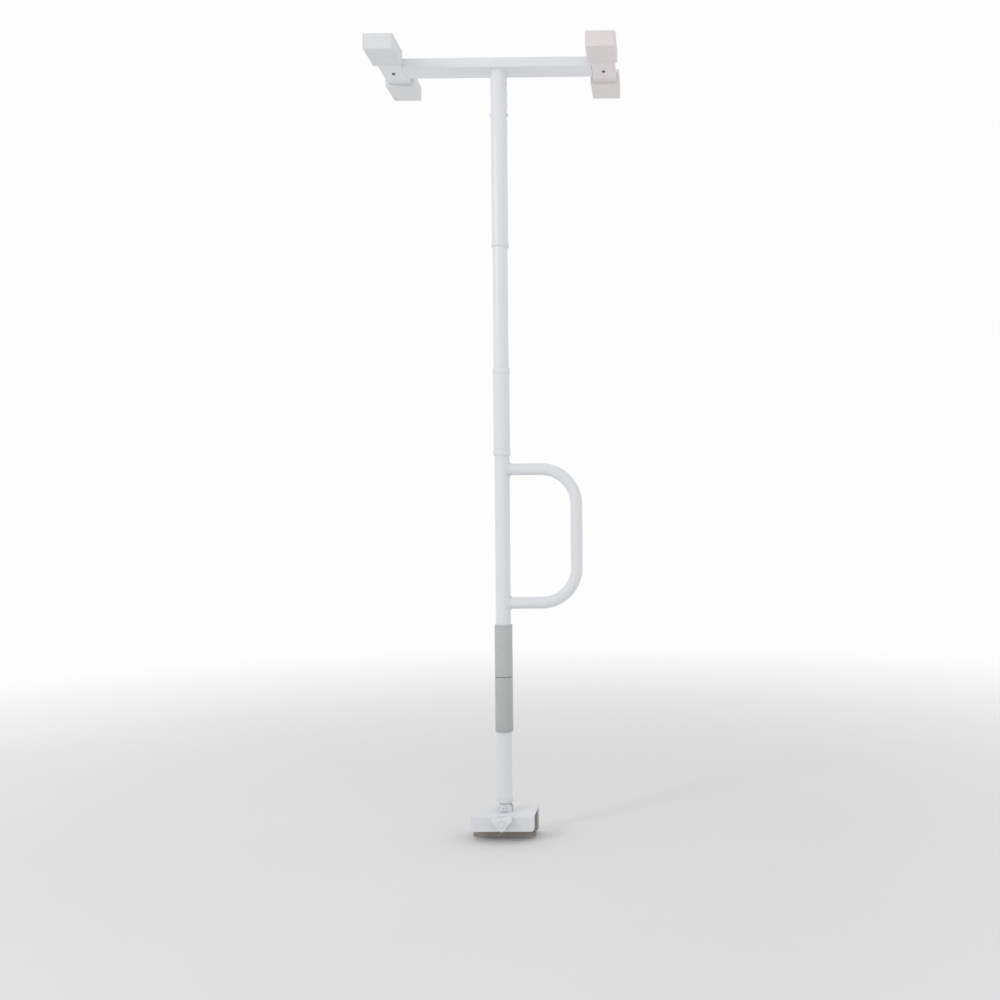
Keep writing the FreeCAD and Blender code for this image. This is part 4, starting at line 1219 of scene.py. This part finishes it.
@dataclass
class Coupler:
    """The sleeve that joins two tubes, with a ring at each end and two socket set screws."""

    lip: float = 0.75
    socket: float = 1.5

    def ring(self, node: str, name: str, body: str = "upper_pole") -> None:
        """A ring with rounded lips that closes the end of a sleeve."""
        edges = [0.2, self.lip, self.lip, 0.2]
        make_ring(name, node, radius_of("coupler_sleeve") + 0.03, edges, WHITE_PAINT, body, 6)

    def screws(self) -> None:
        """The two set screws: a rounded rim and a hexagonal socket."""
        low, high = box_of("coupler_screws")
        radius = (high[0] - low[0]) / 2
        socket = hexagon(self.socket)
        face = high[1]
        rings = [(0, low[1]), (radius - 0.3, low[1]), (radius, low[1] + 0.3), (radius, face - 0.35)]
        rings += [(radius - 0.12, face - 0.1), (radius - 0.4, face), (socket + 0.25, face), (socket, face - 0.25)]
        rings += [(socket, face - 1.8), (0, face - 2.2)]
        skins = [stacked(rings, Axis.Y, (0, 0, z)) for z in (low[2] + radius, high[2] - radius)]
        make_piece("coupler_set_screws", skins, ZINC, "upper_pole", "coupler_screws")

    def build(self) -> None:
        """Builds the sub-assembly."""
        make_ring("coupler_joint_sleeve", "coupler_sleeve", radius_of("handle_tube") + 0.07, 0.3)
        for end in ("lower", "upper"):
            self.ring(f"coupler_ring_{end}", f"coupler_{end}_ring")
        self.screws()


@dataclass
class Stem:
    """The sleeve under the crossbar with its rows of catch holes, its ring, its weld and the snap buttons."""

    pitch: float = 25.4
    hole: float = 4.6
    each_way: int = 3
    ripples: int = 66

    def sleeve(self) -> None:
        """The sleeve with seven pairs of holes."""
        low, high = box_of("stem_sleeve")
        inner = radius_of("extension_tube") + 0.12
        middle = centre_of("snap_button_left")[2]
        heights = middle + self.pitch * np.arange(-self.each_way, self.each_way + 1)
        skin = Punched(high[0], inner, low[2], high[2], heights, self.pitch, self.hole).skin()
        make_piece("head_stem_sleeve", [skin], WHITE_PAINT, "head", "stem_sleeve")

    def weld(self) -> None:
        """The bead between the sleeve and the crossbar, which bulges by 0.3 (1 - (2 saw - 1)^2) in each ripple."""
        low, high = box_of("stem_weld")
        inner = radius_of("stem_sleeve") + 0.05
        radius = high[0] - 0.35
        segments = self.ripples * 8
        a = np.arange(segments) / segments
        pool = 0.3 * (1 - (2 * ((a * self.ripples) % 1) - 1) ** 2)
        rings = [(inner, low[2])]
        for angle in quarter(9):
            reach = inner + (radius - inner) * (0.12 + 0.88 * (1 - math.cos(angle)))
            rings.append((reach + pool * math.sin(2 * angle), low[2] + (high[2] - low[2]) * math.sin(angle)))
        rings.append((inner, high[2]))
        skin = stacked(rings, segments=segments, ring=True)
        make_piece("head_stem_weld", [skin], WHITE_PAINT, "head", "stem_weld", 70)

    def buttons(self) -> None:
        """The two snap buttons: a domed tip on a shank, and the flange that keeps it in the tube."""
        for side, way in (("left", -1), ("right", 1)):
            low, high = box_of(f"snap_button_{side}")
            tip, foot = (low[0], high[0]) if way < 0 else (high[0], low[0])
            rings = [(4.0 * math.sin(a), tip - way * 1.9 * (1 - math.cos(a))) for a in quarter(9)]
            rings += [(4.0, foot + way * 0.5), (5.0, foot + way * 0.5), (5.0, foot), (0, foot)]
            skin = stacked(rings, Axis.X, (0, 0, centre_of(f"snap_button_{side}")[2]), 64)
            make_piece(f"snap_{side}_button", [skin], ZINC, f"snap_{side}", f"snap_button_{side}")

    def build(self) -> None:
        """Builds the sub-assembly."""
        self.sleeve()
        Coupler().ring("stem_ring", "head_stem_ring", "head")
        self.weld()
        self.buttons()


@dataclass
class CrossHead:
    """The crossbar, the two end bars, their bolts and the four rubber boots that meet the ceiling."""

    wall: float = 2.0
    corner: float = 3.0
    bar_edge: float = 0.35
    boot_wall: float = 7.5
    boot_edge: float = 4.0
    closing: float = 0.85
    lip: float = 4.5
    step: float = 0.8
    tread_pitch: float = 6.0
    tread_depth: float = 1.3

    def bar(self, node: str, name: str, axis: Axis, finish: Finish = WHITE_PAINT) -> None:
        """A rectangular hollow bar along X or Y: the outer outline from end to end and back along the inner one.

        Args:
            node: the CAD node that it stands for.
            name: the piece's name.
            axis: the axis that it runs along.
            finish: the bar's finish.
        """
        low, high = box_of(node)
        size, middle = high - low, (low + high) / 2
        width, start, end = (size[1], low[0], high[0]) if axis is Axis.X else (size[0], low[1], high[1])
        centre = (0, middle[1], middle[2]) if axis is Axis.X else (middle[0], 0, middle[2])
        outer = rectangle(width, size[2], self.corner, 8)
        inner = rectangle(width - 2 * self.wall, size[2] - 2 * self.wall, self.corner / 3, 8)
        eased = outer - outline_normals(outer) * self.bar_edge
        outlines = np.stack([eased, outer, outer, eased, inner, inner])
        along = np.array([start, start + self.bar_edge, end - self.bar_edge, end, end, start])
        skin = lofted(outlines, along, axis, centre, ring=True)
        make_piece(name, [skin], finish, "head", node)

    def boot(self, end: str, side: str) -> None:
        """A moulded boot: a socket for the bar, a rolled lip, a body and a ceiling face with cross treads.

        Level by level from the open end the section is the socket, the lip, the body drawn in by
        step, and a far end drawn in by closing boot_edge (1 - cos q). On the body the ceiling face
        falls by tread_depth in each groove.

        Args:
            end: front or rear.
            side: left or right.
        """
        low, high = box_of(f"boot_{end}_{side}")
        size, middle = high - low, (low + high) / 2
        way = -1 if end == "front" else 1
        open_end = high[1] if way < 0 else low[1]
        outer = rectangle(size[0], size[2], self.boot_edge, 8)
        normal = outline_normals(outer)
        body = outer - normal * self.step
        inner = rectangle(size[0] - 2 * self.boot_wall + 0.2, size[2] - 2 * self.boot_wall + 0.2, self.corner, 8)
        length = size[1]
        count = int((length - self.lip - 14) / self.tread_pitch)
        first = self.lip + 6
        breaks = first + (np.arange(count)[:, None] * self.tread_pitch + np.array([0, 0.6, 2.4, 3.0])).ravel()
        sunk = np.tile([0, 1.0, 1.0, 0], count) * self.tread_depth
        on_top = outer[:, 1] > size[2] / 2 - 1e-6
        treads = np.repeat(body[None], len(breaks), 0)
        treads[:, on_top, 1] -= sunk[:, None]
        q = quarter(7)[1:]
        far_levels = body - normal * (self.closing * self.boot_edge * (1 - np.cos(q)))[:, None, None]
        levels = np.concatenate(
            [
                [inner, inner, inner + (outer - inner) * 0.03, outer - normal * 0.9, outer - normal * 0.26, outer],
                [outer, outer - normal * 0.25, body],
                treads,
                [body],
                far_levels,
            ]
        )
        far = length - self.boot_edge
        depth = np.concatenate(
            [
                [length - self.boot_wall, 0.2, 0.0, 0.0, 0.26, 0.9, self.lip - 0.6, self.lip, self.lip + 0.9],
                breaks,
                [far],
                far + self.boot_edge * np.sin(q),
            ]
        )
        skin = lofted(levels, open_end + way * depth, Axis.Y, (middle[0], 0, middle[2]))
        finish = BOOT_RUBBER_COOL if side == "left" else BOOT_RUBBER_WARM
        make_piece(f"ceiling_boot_{end}_{side}", [skin], finish, "head", f"boot_{end}_{side}", 40)

    def bolts(self) -> None:
        """The pan-head bolts under the end bars, coloured dark as painted shade for their recesses.

        The head's face is a dome of 0.8 (r / radius)^2 with a cross recess: it sinks by 1.3 where
        the smaller of |x| and |y| is under about 0.8 and r is under about 2.7.
        """
        low, high = box_of("end_bolts")
        radius, segments = (high[1] - low[1]) / 2, 96
        angle = around(segments)
        skins = []
        for x in (low[0] + radius, high[0] - radius):
            rings = []
            for r in np.linspace(0, radius * 0.9, 19):
                arm = np.minimum(np.abs(np.cos(angle)), np.abs(np.sin(angle))) * r
                sunk = np.clip((1.0 - arm) / 0.4, 0, 1) * min(1.0, max(0.0, (2.9 - r) / 0.5))
                rings.append((r, low[2] + 0.8 * (r / radius) ** 2 + 1.3 * sunk))
            rings += [(radius, low[2] + 1.2), (radius, low[2] + 2.4), (2.45, low[2] + 2.45), (2.45, high[2] - 0.4)]
            rings += [(2.1, high[2]), (0, high[2])]
            skins.append(stacked(rings, Axis.Z, (x, 0, 0), segments))
        make_piece("head_end_bolts", skins, RECESS_SHADE_ZINC, "head", "end_bolts", 50)

    def build(self) -> None:
        """Builds the sub-assembly."""
        self.bar("crossbar", "head_crossbar", Axis.X)
        self.bar("end_bar_left", "head_left_end_bar", Axis.Y)
        self.bar("end_bar_right", "head_right_end_bar", Axis.Y, WARM_PAINT)
        for end in ("front", "rear"):
            for side in ("left", "right"):
                self.boot(end, side)
        self.bolts()


def dress_carried_nodes() -> None:
    """Gives each CAD node the finish of its slot, whether it shows or not."""
    for name, node in frame["nodes"].items():
        finish = SLOT_FINISHES.get(slot_of(name), BOOT_RUBBER_COOL)
        for place in node.material_slots:
            place.material = finish.material()
        if not node.hide_render:
            log.info("%s: kept from the CAD, %s", name, finish.name)


# --- studio ---


@dataclass
class Studio:
    """The camera, a pale floor that fades to white, an even sky and a soft key on the left."""

    lens: float = 34.99
    stand: tuple[float, float, float] = (0.402, -2.479, 0.719)
    tilt: float = -0.75
    roll: float = 0.40
    yaw: float = 0.59
    shift: tuple[float, float] = (-0.15, 0.045)
    floor: float = -0.062
    reach: float = 60.0
    pale: float = 0.78
    aim: tuple[float, float, float] = (0, 0, 0.9)
    key: float = 18.0
    fill: float = 3.0
    sky: float = 0.985
    glow: float = 0.85

    def camera(self) -> None:
        """A nearly level camera, with its frame moved a little up and to the left."""
        lens = bpy.data.cameras.new("camera")
        lens.lens, lens.sensor_width, lens.clip_end = self.lens, 36.0, 200.0
        lens.shift_x, lens.shift_y = self.shift
        camera = linked("camera", lens)
        camera.location = self.stand
        camera.rotation_euler = (math.radians(90 + self.tilt), math.radians(self.roll), math.radians(self.yaw))
        bpy.context.scene.camera = camera

    def ground(self) -> None:
        """A round floor, matt and pale under the pole and as bright as the sky from a few metres out."""
        angle = around(96)
        radii = np.array([0.5, 1.0, 2.0, 4.0, 8.0, 20.0, self.reach])[:, None]
        level = np.full((len(radii), 96), self.floor)
        points = np.stack([radii * np.cos(angle), radii * np.sin(angle), level], -1).reshape(-1, 3)
        faces = net(len(radii), 96, False, True)[:, ::-1].tolist()
        mesh = bpy.data.meshes.new("studio_floor")
        mesh.from_pydata(points.tolist(), [], [list(range(96)), *faces])
        bench = Bench("studio_floor_paint")
        distance = bench.add("ShaderNodeVectorMath", operation="LENGTH", Vector=bench.point).outputs["Value"]
        fade = bench.add("ShaderNodeMapRange", Value=distance, From_Min=0.6, From_Max=4.5)
        fade.interpolation_type = "SMOOTHSTEP"
        cloud = bench.spread(bench.noise(1.3, 3), 0.3, 0.7)
        pale = bench.tint(cloud, shade((self.pale,) * 3, 0.99), shade((self.pale,) * 3, 1.01))
        bench.shine(Base_Color=pale, Roughness=0.85, Specular_IOR_Level=0.2)
        glow = bench.add("ShaderNodeEmission", Color=(1.0, 1.0, 1.0, 1.0), Strength=self.sky)
        blend = bench.add("ShaderNodeMixShader", Fac=fade.outputs[0])
        bench.feed(blend.inputs[1], bench.shader.outputs[0])
        bench.feed(blend.inputs[2], glow.outputs[0])
        bench.feed(bench.tree.nodes["Material Output"].inputs["Surface"], blend.outputs[0])
        mesh.materials.append(bench.material)
        ground = linked("studio_floor", mesh)

    def light(self) -> None:
        """A soft key on the left, a weak fill on the right, and a sky that looks whiter than it shines."""
        for name, place, size, power, colour in (
            ("key", (-2.4, -2.2, 2.4), (0.6, 0.8), self.key, (1.0, 1.0, 1.0)),
            ("fill", (3.2, -2.4, 1.4), (2.4, 2.4), self.fill, (0.97, 0.98, 1.0)),
        ):
            data = bpy.data.lights.new(name, "AREA")
            data.shape, data.size, data.size_y = "RECTANGLE", *size
            data.energy, data.color = power, colour
            lamp = linked(name, data)
            lamp.location = place
            lamp.visible_camera = False
            lamp.rotation_euler = (Vector(self.aim) - Vector(place)).to_track_quat("-Z", "Y").to_euler()
        world = bpy.data.worlds.new("studio_sky")
        world.use_nodes = True
        tree = world.node_tree
        glow, seen = tree.nodes["Background"], tree.nodes.new("ShaderNodeBackground")
        for node, strength in ((glow, self.glow), (seen, self.sky)):
            node.inputs[0].default_value = (1.0, 1.0, 1.0, 1.0)
            node.inputs[1].default_value = strength
        ray, blend = tree.nodes.new("ShaderNodeLightPath"), tree.nodes.new("ShaderNodeMixShader")
        tree.links.new(ray.outputs["Is Camera Ray"], blend.inputs[0])
        tree.links.new(glow.outputs[0], blend.inputs[1])
        tree.links.new(seen.outputs[0], blend.inputs[2])
        tree.links.new(blend.outputs[0], tree.nodes["World Output"].inputs["Surface"])
        bpy.context.scene.world = world
        bpy.context.scene.view_settings.view_transform = "Standard"

    def build(self) -> None:
        """Builds the studio."""
        self.camera()
        self.ground()
        self.light()


def main() -> None:
    """Builds every sub-assembly, the finishes of the carried nodes and the studio, in that order."""
    logging.basicConfig(level=logging.INFO, format="%(message)s")
    for part in (RimSaddle(), RimClamp(), FootPivot(), Tubes(), Grips(), SideHandle(), Coupler(), Stem(), CrossHead()):
        part.build()
    dress_carried_nodes()
    Studio().build()


if __name__ == "__main__":
    main()
